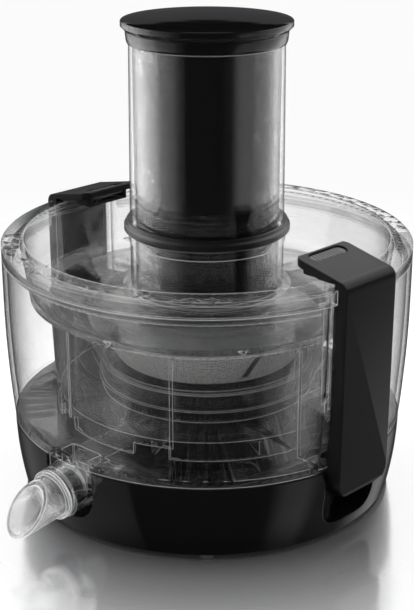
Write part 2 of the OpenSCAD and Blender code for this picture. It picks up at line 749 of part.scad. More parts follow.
module lid() color([0.85, 0.86, 0.88, 0.35]) {
    difference() {
        union() {
            rotate_extrude() lid_profile();
            intersection() {
                flat_wall(flat_u - lid_t, lid_z0, lid_top - eps, bowl_wall);
                disc(bowl_r, lid_z0, lid_top);
            }
        }
        clamp_flat(flat_u, 0, lid_top + 5);
        for (a = [clamp_az, clamp_az + 180]) polar(a)
            block([flat_u - bowl_wall - 3, -notch_half - bowl_wall - 3, 0],
                [bowl_r + 5, notch_half + bowl_wall + 3, lid_z0 - eps]);
    }
    for (turn = [0, 180]) {
        lid_dots(turn - 86, turn - 27, 5.9);
        lid_dots(turn - 8, turn + 4, 5.9);
        polar(turn - 16) translate([bowl_r - 5, 0, lid_top - 0.2]) linear_extrude(0.8)
            rounded_rect(2.4, 7, 1.1);
    }
}

module feed_tube() color([0.85, 0.86, 0.88, 0.35]) difference() {
    union() {
        rotate_extrude() polygon([[0, tube_low], [tube_r, tube_low], [tube_r, collar_z + 6],
            [tube_top_r, tube_top], [0, tube_top]]);
        disc(tube_r + 4, recess_z + seat, recess_z + seat + 2);
        disc(tube_r + 0.8, collar_z - 5, collar_z - seat);
    }
    disc(tube_in, tube_low - 1, tube_top + 1);
}

collar_z = lid_top + 3;

module tube_collar() color([0.07, 0.07, 0.075]) {
    rotate_extrude() polygon([[tube_r + fit, collar_z], [tube_r + 2, collar_z],
        [tube_r + 3, collar_z + 0.8], [tube_r + 3, collar_z + 3.2], [tube_r + 2, collar_z + 4],
        [tube_r + fit, collar_z + 4]]);
    ring(tube_r + 1.7, tube_r + fit, collar_z + 3.9, collar_z + 5.6);
}

// ---------- spout ----------

module spout_seal() color([0.7, 0.71, 0.73])
    polar(-spout_az) translate([spout_u, 0, spout_z]) rotate([0, 90 + spout_slope, 0])
        translate([0, 0, socket_end + seat]) rotate_extrude() translate([spout_r + 1.1, 0.9])
            circle(r = 0.9, $fn = 24);

module juice_spout() color([0.88, 0.89, 0.9, 0.45])
    polar(-spout_az) translate([spout_u, 0, spout_z]) rotate([0, 90 + spout_slope, 0]) difference() {
        union() {
            translate([0, 0, -1]) cylinder(r = spout_r, h = spout_reach + 1);
            translate([0, 0, socket_end + seat + 2.1]) cylinder(r = spout_r + 1.9, h = 2);
        }
        translate([0, 0, -2]) cylinder(r = spout_r - spout_wall, h = spout_reach + 4);
        bevel_cut();
    }

// everything beyond a slanted plane through the upper and the lower lip
module bevel_cut() {
    a = atan(spout_bevel / (2 * spout_r));
    translate([-spout_r, 0, spout_reach - spout_bevel]) rotate([0, -a, 0])
        translate([-10, -30, 0]) cube([80, 60, 80]);
}

// ---------- sieve ----------

hub_low = floor_z + 1;

module sieve_hub() color([0.05, 0.05, 0.055]) difference() {
    union() {
        rotate_extrude() polygon(concat([[hub_r0 - 3, hub_low]],
            arc(hub_r0 - 1.2, hub_low + 1.2, 1.2, -90, 0, 4),
            [[hub_r1, disc_z - 2], [hub_r1, disc_z], [0, disc_z], [0, disc_z - 3],
            [hub_r1 - 3, disc_z - 3], [hub_r0 - 3, hub_low + 3]]));
        disc(15, tower_top + 2.6, disc_z - 1);
    }
    disc(11, 0, disc_z - 3);
}

module coupling_insert() color([0.3, 0.3, 0.32]) difference() {
    disc(11 - fit, tower_top + 2.6, disc_z - 3.2);
    disc(8.2, 0, disc_z);
    for (i = [0:5]) rotate([0, 0, 60 * i]) translate([6, -1.8, 0]) cube([4.2, 3.6, disc_z]);
}

module grater_disc() color([0.74, 0.75, 0.77]) {
    disc(mesh_r0 - 1, disc_z, disc_z + disc_t);
    for (k = [1:5]) for (i = [0:5 * k]) rotate([0, 0, 360 / (5 * k + 1) * i + 17 * k])
        translate([7 * k, 0, disc_z + disc_t]) rotate([0, 30, 0])
            translate([-0.8, -0.5, -0.5]) cube([1.6, 1, 2.2]);
}

module sieve_mesh() color([0.66, 0.66, 0.66])
    rotate_extrude() polygon([[mesh_r0 - 4, disc_z + disc_t], [mesh_r0, disc_z + disc_t],
        [mesh_r1, mesh_z1], [mesh_r1 - sheet_t, mesh_z1], [mesh_r0 - sheet_t, disc_z + disc_t + sheet_t],
        [mesh_r0 - 4, disc_z + disc_t + sheet_t]]);

module sieve_rim() color([0.22, 0.22, 0.23])
    rotate_extrude() polygon(concat([[mesh_r1 + 0.1, rim_z0], [mesh_r1 + 2, rim_z0]],
        arc(mesh_r1 + 0.9, rim_z1 - 1.1, 1.1, 0, 90, 4), [[mesh_r1 - 1.4, rim_z1],
        [mesh_r1 - 1.4, rim_z0 + 0.8], [mesh_r1 + 0.1, rim_z0 + 0.8]]));

// ---------- pusher ----------

module pusher_body() color([0.03, 0.03, 0.035]) difference() {
    disc(pusher_r, pusher_low + 6, cap_z0 + 3);
    disc(pusher_r - 2.4, pusher_low + 5, cap_z0 + 4);
}

module pusher_foot() color([0.04, 0.04, 0.045]) difference() {
    union() {
        rotate_extrude() polygon(concat([[0, pusher_low]], arc(pusher_r - 3, pusher_low + 3, 3, -90, 0, 5),
            [[pusher_r, pusher_low + 6 - seat], [0, pusher_low + 6 - seat]]));
        disc(pusher_r - 2.4 - fit, pusher_low + 5, pusher_low + 14);
    }
    disc(pusher_r - 5, pusher_low + 3, pusher_low + 15);
}

module pusher_cap() color([0.04, 0.04, 0.045])
    rotate_extrude() polygon(concat([[0, cap_z0 + 3 + seat], [pusher_r + seat, cap_z0 + 3 + seat],
        [pusher_r + seat, cap_z0], [cap_r - 3.1, cap_z0], [cap_r - 2.6, cap_z0 + 1.4],
        [cap_r - 2.2, cap_top - 7.4], [cap_r - 2.6, cap_top - 7], [cap_r - 2.2, cap_top - 6.6],
        [cap_r, cap_top - 4.4]], arc(cap_r - 0.8, cap_top - 2.4, 0.8, 0, 70, 4),
        arc(0, cap_top - 560, 560, 90 - asin((cap_r - 6) / 560), 90, 3)));

// ---------- clamps ----------

// height of the clamp's sloping top above the table, at distance u from the drive axis
function top_z(u) = bend_z + (clamp_out - u) * clamp_rise / (clamp_out - clamp_in);

// height of the clamp's underside, which slopes down to clear the lid's ridge
arm_under = lid_top + ridge_h + loose;
flat_under = clamp_in + 15;
function under_z(u) = arm_under + max(0, flat_under - u) / 15 * (top_z(clamp_in) - 3.7 - arm_under);

module arm_profile() {
    bend = 5;
    polygon(concat([[clamp_in, under_z(clamp_in)], [clamp_in, top_z(clamp_in) - 0.8],
        [clamp_in + 0.8, top_z(clamp_in + 0.8)], [clamp_out - bend, top_z(clamp_out - bend)]],
        [for (p = arc(clamp_out - bend, top_z(clamp_out - bend) - bend, bend, 80, 0, 6)) p],
        [[clamp_out, arm_low + 3], [clamp_out - 2, arm_low], [arm_in + 0.8, arm_low],
        [arm_in - 1.2, arm_low + 3],
        [arm_in - 1.2, pin_z + 12], [arm_in, pin_z + 22], [arm_in, arm_under], [flat_under, arm_under]]));
}

module clamp_arm(a) polar(a) difference() {
    union() {
        intersection() {
            side_plate(half_w) arm_profile();
            front_plate(clamp_in - 5, clamp_out + 5) u_slot(half_w, 9, arm_low, clamp_top_z + 5);
            linear_extrude(clamp_top_z + 5) translate([(clamp_in + clamp_out + 20) / 2, 0])
                rounded_rect(clamp_out + 20 - clamp_in, clamp_w, 4);
        }
        side_plate(knuckle_half) union() {
            translate([pin_u, pin_z]) circle(r = ear_r);
            translate([pin_u, pin_z - ear_r]) square([arm_in - pin_u, 2 * ear_r]);
        }
    }
    translate([pin_u, 0, pin_z]) rotate([90, 0, 0])
        cylinder(r = pin_r + fit, h = clamp_w + 4, center = true);
    block([arm_in - 1, -liner_half - fit, liner_z0], [arm_in + liner_t + 2.2, liner_half + fit, liner_z1]);
    button_hole(button_gap);
}

// sloping frame on the clamp's top, z out of the surface
module on_top(u) {
    translate([u, 0, top_z(u)]) rotate([0, slope_a, 0]) children();
}

module button_hole(gap) {
    on_top(slot_u) translate([0, 0, -9]) linear_extrude(12)
        rounded_rect(slot_w, slot_l, slot_w / 2 - eps);
}

module clamp_liner(a) polar(a) difference() {
    block([arm_in + 0.2, -liner_half, liner_z0 + fit], [arm_in + liner_t, liner_half, liner_z1 - fit]);
    for (z = [liner_z0 + 12, liner_z1 - 12]) translate([arm_in - 1, 0, z]) rotate([0, 90, 0])
        cylinder(r = 1.6, h = 5);
}

hook_u0 = clamp_in + 1.2;
hook_u1 = clamp_in + 12;

module clamp_hook(a) polar(a) {
    low = lid_top + ridge_h - 0.5;
    difference() {
        intersection() {
            side_plate(14) polygon([[hook_u0, low], [hook_u0 + 9.8, low], [hook_u1, low + 0.8],
                [hook_u1, under_z(hook_u1) - 0.1], [hook_u0, under_z(hook_u0) - 0.1]]);
            linear_extrude(300) translate([hook_u0 + 10, 0]) rounded_rect(20, 28, 2.5);
        }
        on_top(slot_u) translate([0, 0, -6.6]) linear_extrude(10)
            rounded_rect(slot_w + 0.6, slot_l + 0.6, slot_w / 2);
    }
}

module button_spring(a) polar(a) on_top(slot_u) translate([0, 0, -6.5]) side_plate_v(slot_w / 2 - 1.5)
    polygon([[-9, 0], [-6, 0.95], [0, 1.6], [6, 0.95], [9, 0], [8.3, 0], [5.8, 0.6], [0, 1.25],
        [-5.8, 0.6], [-8.3, 0]]);

// outline in the (v, height) plane, made half thick each way along the arm
module side_plate_v(half) translate([-half, 0, 0]) rotate([90, 0, 90]) linear_extrude(2 * half) children();

module clamp_button(a) polar(a) on_top(slot_u) {
    translate([0, 0, -0.9 - button_h + 1.2]) linear_extrude(button_h - 1.2)
        rounded_rect(slot_w - 2 * button_gap, slot_l - 2 * button_gap, slot_w / 2 - button_gap - eps);
    for (i = [-4:4]) translate([0, i * 2, -0.95]) rotate([0, 90, 0])
        cylinder(r = 0.45, h = slot_w - 2.4, center = true, $fn = 24);
}

module front_clamp_arm() color([0.1, 0.1, 0.105]) clamp_arm(clamp_az);

module rear_clamp_arm() color([0.1, 0.1, 0.105]) clamp_arm(clamp_az + 180);

module front_clamp_liner() color([0.14, 0.14, 0.145]) clamp_liner(clamp_az);

module rear_clamp_liner() color([0.14, 0.14, 0.145]) clamp_liner(clamp_az + 180);

module front_clamp_hook() color([0.12, 0.12, 0.125]) clamp_hook(clamp_az);

module rear_clamp_hook() color([0.12, 0.12, 0.125]) clamp_hook(clamp_az + 180);

module front_button_spring() color([0.8, 0.8, 0.82]) button_spring(clamp_az);

module rear_button_spring() color([0.8, 0.8, 0.82]) button_spring(clamp_az + 180);

module front_clamp_button() color([0.28, 0.28, 0.29]) clamp_button(clamp_az);

module rear_clamp_button() color([0.28, 0.28, 0.29]) clamp_button(clamp_az + 180);

base_housing();
base_plate();
rubber_feet();
plate_screws();
motor_mount();
mount_screws();
stator_core();
stator_windings();
lower_bearing();
upper_bearing();
shaft_seal();
control_board();
board_parts();
interlock_switches();
power_inlet();
inlet_pins();
mains_leads();
switch_bezel();
switch_rocker();
front_hinge_bracket();
rear_hinge_bracket();
front_hinge_pin();
rear_hinge_pin();
bowl();
bowl_floor();
bowl_outlet();
lid_seal();
pulp_container();
pulp_floor_ring();
pulp_inner_wall();
juice_collector();
lid();
lid_floor();
feed_tube();
tube_collar();
spout_seal();
juice_spout();
motor_shaft();
rotor_bell();
rotor_magnets();
cooling_fan();
drive_coupling();
sieve_hub();
coupling_insert();
grater_disc();
sieve_mesh();
sieve_rim();
pusher_body();
pusher_cap();
pusher_foot();
front_clamp_arm();
front_clamp_liner();
front_clamp_hook();
front_button_spring();
front_clamp_button();
rear_clamp_arm();
rear_clamp_liner();
rear_clamp_hook();
rear_button_spring();
rear_clamp_button();
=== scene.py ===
"""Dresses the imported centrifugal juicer: finishes, moulded edges, one-piece clear mouldings, the basket's
seam and a plain pale studio."""
import json
import math
from functools import partial

import bmesh
import bpy
from bpy.props import FloatProperty, FloatVectorProperty, PointerProperty
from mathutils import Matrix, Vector

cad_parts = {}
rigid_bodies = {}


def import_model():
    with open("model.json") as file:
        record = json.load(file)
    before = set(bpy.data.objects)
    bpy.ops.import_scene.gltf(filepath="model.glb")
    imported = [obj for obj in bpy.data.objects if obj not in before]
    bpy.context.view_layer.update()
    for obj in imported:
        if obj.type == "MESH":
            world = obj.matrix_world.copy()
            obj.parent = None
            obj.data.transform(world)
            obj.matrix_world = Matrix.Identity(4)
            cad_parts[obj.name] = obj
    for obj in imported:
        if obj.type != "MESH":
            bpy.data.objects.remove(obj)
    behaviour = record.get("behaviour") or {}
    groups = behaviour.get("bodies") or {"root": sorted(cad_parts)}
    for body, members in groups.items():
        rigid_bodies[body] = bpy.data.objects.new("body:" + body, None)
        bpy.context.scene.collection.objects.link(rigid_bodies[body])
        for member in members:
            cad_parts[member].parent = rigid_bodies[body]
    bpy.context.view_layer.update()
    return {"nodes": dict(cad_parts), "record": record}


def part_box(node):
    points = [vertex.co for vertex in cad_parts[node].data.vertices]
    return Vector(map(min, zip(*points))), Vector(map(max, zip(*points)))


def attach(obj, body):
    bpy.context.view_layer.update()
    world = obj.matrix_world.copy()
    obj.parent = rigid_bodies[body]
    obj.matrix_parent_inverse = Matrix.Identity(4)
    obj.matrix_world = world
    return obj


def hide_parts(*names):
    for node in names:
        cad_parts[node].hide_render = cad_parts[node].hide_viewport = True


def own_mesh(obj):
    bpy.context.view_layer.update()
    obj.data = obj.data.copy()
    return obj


bl_info = {
    "name": "Centrifugal juicer dresser",
    "version": (1, 1, 0),
    "blender": (4, 5, 0),
    "location": "3D View > Sidebar > Juicer",
    "description": "Gives a packed juicer its finishes, its rounded plastic edges and a studio",
    "category": "Object",
}

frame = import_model()
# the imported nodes' objects, and the material slot of each
NODES = frame["nodes"]
SLOTS = {row["node"]: row["material_slot"] for row in frame["record"]["subparts"]}

# a millimetre, in metres
MM = 0.001
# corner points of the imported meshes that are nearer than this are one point
SAME_POINT = 0.001 * MM

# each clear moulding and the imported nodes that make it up
MOULDINGS = {
    "bowl_moulding": ("bowl", "bowl_floor", "bowl_outlet"),
    "pulp_moulding": ("pulp_container", "pulp_floor_ring", "pulp_inner_wall"),
    "lid_moulding": ("lid", "lid_floor"),
}
# a union that failed leaves fewer faces than this
LEAST_FACES = 100
# ring-shaped nodes whose rim is sunk into the wall round them when they are joined, how wide
# that rim is, and how deep it is sunk
SUNK = ("pulp_floor_ring",)
RIM_MM = 1.0
SINK_MM = 0.4
# mouldings whose flange has small moulded dots, which show because they bend the light
DOTTED = ("lid_moulding",)
# clear pieces whose walls are thick beside their size, so that they bend much of what is seen through them
THICK = ("juice_spout",)
# pieces that the tall lights beside the feed tube fall on
TUBE_PIECES = ("pusher_body", "pusher_cap", "pusher_foot", "feed_tube", "tube_collar")
# black and grey mouldings whose outer edges the tool leaves round, with the radius in millimetres
ROUNDED = {
    "front_clamp_arm": 1.1,
    "rear_clamp_arm": 1.1,
    "pusher_cap": 0.4,
    "front_clamp_button": 0.25,
    "rear_clamp_button": 0.25,
}
ROUND_SEGMENTS = 3
ROUND_FROM_DEGREES = 40
# faces that meet at more than this keep a crisp edge
CRISP_DEGREES = 28

# the basket's seam: its azimuths at foot and top, and the shares of the cone's height that it runs between
SEAM_TURNS = (22.5, 27.5)
SEAM_SHARES = (0.1, 0.94)
# how far the cone's foot stands out from the grater disc
CONE_FOOT_MM = 1.0
# the seam's steps, with a spot weld at each but the ends
SEAM_STEPS = 10
# the strip's section: across as a share of its half width, and out as a share of its height
SEAM_SECTION = ((-1, -0.5), (-0.92, 0.8), (-0.75, 1), (0.75, 1), (0.92, 0.8), (1, -0.5))
# a spot weld: its sides, then the radius of its foot and of its top, each with its height above the strip
WELD_SIDES = 12
WELD_FOOT_MM = (0.5, -0.05)
WELD_TOP_MM = (0.3, 0.12)


# ---------- helpers ----------


def hex_colour(code):
    """A six-digit sRGB hex value as linear red, green and blue."""
    parts = [int(code[i : i + 2], 16) / 255 for i in (0, 2, 4)]
    return tuple(p / 12.92 if p <= 0.04045 else ((p + 0.055) / 1.055) ** 2.4 for p in parts)


def solid(code):
    """A hex value as linear red, green, blue and alpha."""
    return (*hex_colour(code), 1)


def paint(name):
    """A colour of the panel as red, green, blue and alpha."""
    return (*getattr(bpy.context.scene.juicer_colours, name), 1.0)


def shade(colour, share):
    """A colour with its red, green and blue times a share."""
    return (*[share * c for c in colour[:3]], 1)


def grey(level):
    """An even grey of a given linear level, with alpha."""
    return (level, level, level, 1.0)


def grey_stops(rows):
    """A colour ramp's stops from rows of place and grey level."""
    return [(place, grey(level)) for place, level in rows]


def size_of(name):
    """A size of the panel, in metres."""
    return getattr(bpy.context.scene.juicer_sizes, name)


def add(tree, kind, values=None, stops=(), **settings):
    """Adds a node. Settings are its own properties; values are its inputs, as numbers, colours or other
    nodes' outputs; stops are a colour ramp's places and colours."""
    node = tree.nodes.new("ShaderNode" + kind)
    for name, value in settings.items():
        setattr(node, name, value)
    for name, value in (values or {}).items():
        socket = node.inputs[name]
        if isinstance(value, bpy.types.NodeSocket):
            tree.links.new(value, socket)
        else:
            socket.default_value = value
    for place, colour in stops[2:]:
        node.color_ramp.elements.new(place)
    for element, (place, colour) in zip(node.color_ramp.elements if stops else (), stops):
        element.position = place
        element.color = colour
    return node


def new_tree(name):
    """An empty material, its node tree and its output node."""
    material = bpy.data.materials.new(name)
    material.use_nodes = True
    tree = material.node_tree
    tree.nodes.clear()
    return material, tree, add(tree, "OutputMaterial")


def polar(azimuth, out, height):
    """A point at an azimuth in degrees from the front, out from the drive axis and up in metres."""
    a = math.radians(azimuth)
    return Vector((out * math.sin(a), -out * math.cos(a), height))


def mesh_from(shape, name):
    """A mesh made from a bmesh, which is freed."""
    mesh = bpy.data.meshes.new(name)
    shape.to_mesh(mesh)
    shape.free()
    return mesh


def new_object(name, mesh, material=None):
    """An object for a mesh, linked to the scene and given its material."""
    thing = bpy.data.objects.new(name, mesh)
    bpy.context.scene.collection.objects.link(thing)
    if material:
        mesh.materials.append(material)
    return thing


# ---------- materials ----------

# real sizes of what the materials draw, in millimetres
FLOW_MM = 45  # patches where plastic ran into the tool at one speed
WAVE_MM = 28  # shallow waves that the tool leaves in a clear wall
HAZE_MM = 9  # duller patches of a clear wall
BLOTCH_MM = 14  # duller patches of the etched sheet
WEAVE_MM = 0.9  # glass threads of the board
SPECK_MM = 6  # duller patches of the floor's sheet
# metal grain is this many times longer than it is wide
GRAIN_STRETCH = 25
# a wave texture repeats this often at a scale of 1
WAVE_REPEAT = 0.31
# the share of lamp light that one clear wall lets through, as red, green and blue, with alpha
WALL_PASS = (0.965, 0.967, 0.972, 1)


def moulded_plastic(name, colour, roughness, grain_mm, grain_depth_mm, edge_mm):
    """Injection-moulded ABS or nylon: even colour, gloss that drifts with the flow in the tool, the tool's
    grain, and edges that the tool leaves round, which catch a thin line of light."""
    material, tree, output = new_tree(name)
    base = paint(colour)
    where = add(tree, "TexCoord").outputs["Object"]
    flow = add(tree, "TexNoise", {"Vector": where, "Scale": 1 / (FLOW_MM * MM), "Detail": 3.0})
    grain = add(tree, "TexNoise", {"Vector": where, "Scale": 1 / (grain_mm * MM), "Detail": 2.0})
    rough = add(tree, "MapRange", {"Value": flow.outputs["Fac"], "From Min": 0.3, "From Max": 0.7,
                "To Min": roughness * 0.85, "To Max": roughness * 1.15})
    tone = add(tree, "ValToRGB", {"Fac": flow.outputs["Fac"]},
               stops=((0.3, shade(base, 0.88)), (0.7, shade(base, 1.12))))
    rounded = add(tree, "Bevel", {"Radius": edge_mm * MM}, samples=6)
    bump = add(tree, "Bump", {"Height": grain.outputs["Fac"], "Strength": 0.6,
               "Distance": grain_depth_mm * MM, "Normal": rounded.outputs["Normal"]})
    shader = add(tree, "BsdfPrincipled", {"Base Color": tone.outputs["Color"],
                 "Roughness": rough.outputs["Result"], "Normal": bump.outputs["Normal"], "IOR": 1.53})
    tree.links.new(shader.outputs[0], output.inputs["Surface"])
    return material


def clear_plastic(name, bent_share, pass_face, pass_edge, edge_mm, edge_light, density=0):
    """Clear moulded SAN or silicone: most light goes straight through the thin walls and a share is bent by
    them; walls seen edge-on look greyer and mirror more, edges show pale, and faint waves from the mould
    disturb the mirror. A thick wall has a density too, which tints what passes through its depth."""
    material, tree, output = new_tree(name)
    tint = paint("clear_tint")
    where = add(tree, "TexCoord").outputs["Object"]
    wave = add(tree, "TexNoise", {"Vector": where, "Scale": 1 / (WAVE_MM * MM), "Detail": 1.0})
    haze = add(tree, "TexNoise", {"Vector": where, "Scale": 1 / (HAZE_MM * MM), "Detail": 4.0})
    rough = add(tree, "MapRange", {"Value": haze.outputs["Fac"], "From Min": 0.35, "From Max": 0.75,
                "To Min": 0.01, "To Max": 0.06})
    bump = add(tree, "Bump", {"Height": wave.outputs["Fac"], "Strength": 0.4, "Distance": 0.003 * MM})
    bent = add(tree, "BsdfPrincipled", {"Base Color": grey(1.0), "Roughness": rough.outputs["Result"],
               "Normal": bump.outputs["Normal"], "IOR": 1.5, "Transmission Weight": 1.0})
    facing = add(tree, "LayerWeight", {"Blend": 0.5})
    passed = add(tree, "ValToRGB", {"Fac": facing.outputs["Facing"]},
                 stops=((0.0, grey(pass_face)), (0.55, grey(pass_face * 0.985)),
                        (0.85, grey((pass_face + pass_edge) / 2)), (1.0, shade(tint, pass_edge))))
    straight = add(tree, "BsdfTransparent", {"Color": passed.outputs["Color"]})
    mirror = add(tree, "BsdfGlossy", {"Color": grey(1.0), "Roughness": rough.outputs["Result"],
                 "Normal": bump.outputs["Normal"]})
    # Schlick's rule, the same from both sides of a wall
    edge = add(tree, "Math", {0: facing.outputs["Facing"], 1: 5.0}, operation="POWER")
    share = add(tree, "Math", {0: edge.outputs[0], 1: 0.96, 2: 0.04}, operation="MULTIPLY_ADD")
    wall = add(tree, "MixShader", {"Fac": share.outputs[0], 1: straight.outputs[0], 2: mirror.outputs[0]})
    body = add(tree, "MixShader", {"Fac": bent_share, 1: wall.outputs[0], 2: bent.outputs[0]})
    # light piped along the walls leaves at their edges, which are drawn as pale lines
    rounded = add(tree, "Bevel", {"Radius": edge_mm * MM}, samples=4)
    flat = add(tree, "NewGeometry")
    alike = add(tree, "VectorMath", {0: rounded.outputs["Normal"], 1: flat.outputs["Normal"]},
                operation="DOT_PRODUCT")
    unlike = add(tree, "Math", {0: alike.outputs["Value"]}, operation="ABSOLUTE")
    line = add(tree, "MapRange", {"Value": unlike.outputs[0], "From Min": 0.98, "From Max": 0.80,
               "To Max": edge_light})
    pale = add(tree, "BsdfDiffuse", {"Color": grey(0.9)})
    seen = add(tree, "MixShader", {"Fac": line.outputs["Result"], 1: body.outputs[0], 2: pale.outputs[0]})
    # shadows and scattered light meet a plain filter instead, so that the lamps light what is inside
    passing = add(tree, "BsdfTransparent", {"Color": WALL_PASS})
    path = add(tree, "LightPath")
    unseen = add(tree, "Math", {0: path.outputs["Is Shadow Ray"], 1: path.outputs["Is Diffuse Ray"]},
                 operation="MAXIMUM")
    mixed = add(tree, "MixShader", {"Fac": unseen.outputs[0], 1: seen.outputs[0], 2: passing.outputs[0]})
    tree.links.new(mixed.outputs[0], output.inputs["Surface"])
    if density:
        depth = add(tree, "VolumeAbsorption", {"Color": tint, "Density": density})
        tree.links.new(depth.outputs[0], output.inputs["Volume"])
    return material


def ground_metal(name, code, roughness, lay_mm):
    """Metal ground, rolled, cast or plated: fine lines along one direction that stretch the highlights."""
    material, tree, output = new_tree(name)
    where = add(tree, "TexCoord").outputs["Object"]
    lines = add(tree, "Mapping", {"Vector": where,
                "Scale": (1 / (lay_mm * MM), 1 / (lay_mm * MM), 1 / (lay_mm * GRAIN_STRETCH * MM))})
    grain = add(tree, "TexNoise", {"Vector": lines.outputs["Vector"], "Scale": 1.0, "Detail": 3.0})
    rough = add(tree, "MapRange", {"Value": grain.outputs["Fac"], "From Min": 0.3, "From Max": 0.7,
                "To Min": roughness * 0.8, "To Max": roughness * 1.25})
    bump = add(tree, "Bump", {"Height": grain.outputs["Fac"], "Strength": 0.3, "Distance": 0.01 * MM})
    shader = add(tree, "BsdfPrincipled", {"Base Color": solid(code), "Metallic": 1.0,
                 "Roughness": rough.outputs["Result"], "Normal": bump.outputs["Normal"]})
    tree.links.new(shader.outputs[0], output.inputs["Surface"])
    return material


def etched_sheet(name, colour, hole_shade_code):
    """Stainless sheet etched with staggered holes: a bright web round small dark dots, soft rather than
    mirror-like. The dots' dark grey is painted shade for the dim inside seen through each hole. The holes
    are drawn wider apart than the real 0.5 mm, so that they show."""
    material, tree, output = new_tree(name)
    where = add(tree, "TexCoord").outputs["Object"]
    holes = add(tree, "TexVoronoi", {"Vector": where, "Scale": 1 / size_of("hole_pitch"),
                "Randomness": 0.45})
    blotch = add(tree, "TexNoise", {"Vector": where, "Scale": 1 / (BLOTCH_MM * MM), "Detail": 3.0})
    dot = add(tree, "MapRange", {"Value": holes.outputs["Distance"], "From Min": 0.24, "From Max": 0.40})
    # the dark grey in each hole is painted shade, not a colour of the steel
    tone = add(tree, "MixRGB", {"Fac": dot.outputs["Result"], 1: solid(hole_shade_code), 2: paint(colour)})
    rough = add(tree, "MapRange", {"Value": blotch.outputs["Fac"], "From Min": 0.3, "From Max": 0.7,
                "To Min": 0.34, "To Max": 0.55})
    bump = add(tree, "Bump", {"Height": dot.outputs["Result"], "Strength": 0.5, "Distance": 0.08 * MM})
    shader = add(tree, "BsdfPrincipled", {"Base Color": tone.outputs["Color"], "Metallic": 0.35,
                 "Roughness": rough.outputs["Result"], "Normal": bump.outputs["Normal"]})
    tree.links.new(shader.outputs[0], output.inputs["Surface"])
    return material


def moulded_rubber(name, code, grain_mm):
    """Moulded rubber: no shine to speak of and a fine tooth."""
    material, tree, output = new_tree(name)
    where = add(tree, "TexCoord").outputs["Object"]
    tooth = add(tree, "TexNoise", {"Vector": where, "Scale": 1 / (grain_mm * MM), "Detail": 3.0})
    bump = add(tree, "Bump", {"Height": tooth.outputs["Fac"], "Strength": 0.5, "Distance": 0.05 * MM})
    rough = add(tree, "MapRange", {"Value": tooth.outputs["Fac"], "To Min": 0.6, "To Max": 0.85})
    shader = add(tree, "BsdfPrincipled", {"Base Color": solid(code), "Roughness": rough.outputs["Result"],
                 "Normal": bump.outputs["Normal"], "IOR": 1.5, "Specular IOR Level": 0.35})
    tree.links.new(shader.outputs[0], output.inputs["Surface"])
    return material


def wound_wire(name, code, groove_shade_code, wire_mm):
    """Enamelled copper wire wound in close turns: bright ridges under a clear coat, with painted shade in the
    grooves between the turns.
    """
    material, tree, output = new_tree(name)
    where = add(tree, "TexCoord").outputs["Object"]
    turns = add(tree, "TexWave", {"Vector": where, "Scale": WAVE_REPEAT / (wire_mm * MM),
                "Distortion": 0.3}, wave_type="BANDS", bands_direction="Z")
    # the darker brown between the turns is painted shade in the grooves
    tone = add(tree, "MixRGB", {"Fac": turns.outputs["Fac"], 1: solid(groove_shade_code), 2: solid(code)})
    bump = add(tree, "Bump", {"Height": turns.outputs["Fac"], "Strength": 0.8,
               "Distance": wire_mm * 0.4 * MM})
    shader = add(tree, "BsdfPrincipled", {"Base Color": tone.outputs["Color"], "Metallic": 0.9,
                 "Roughness": 0.3, "Normal": bump.outputs["Normal"], "Coat Weight": 0.6,
                 "Coat Roughness": 0.12})
    tree.links.new(shader.outputs[0], output.inputs["Surface"])
    return material


def glass_epoxy(name, code, thread_code):
    """Glass-epoxy board under solder mask: the weave shows through as a fine square grid."""
    material, tree, output = new_tree(name)
    where = add(tree, "TexCoord").outputs["Object"]
    weave = add(tree, "TexChecker", {"Vector": where, "Scale": 1 / (WEAVE_MM * MM),
                "Color1": solid(code), "Color2": solid(thread_code)})
    shader = add(tree, "BsdfPrincipled", {"Base Color": weave.outputs["Color"], "Roughness": 0.32,
                 "IOR": 1.5})
    tree.links.new(shader.outputs[0], output.inputs["Surface"])
    return material


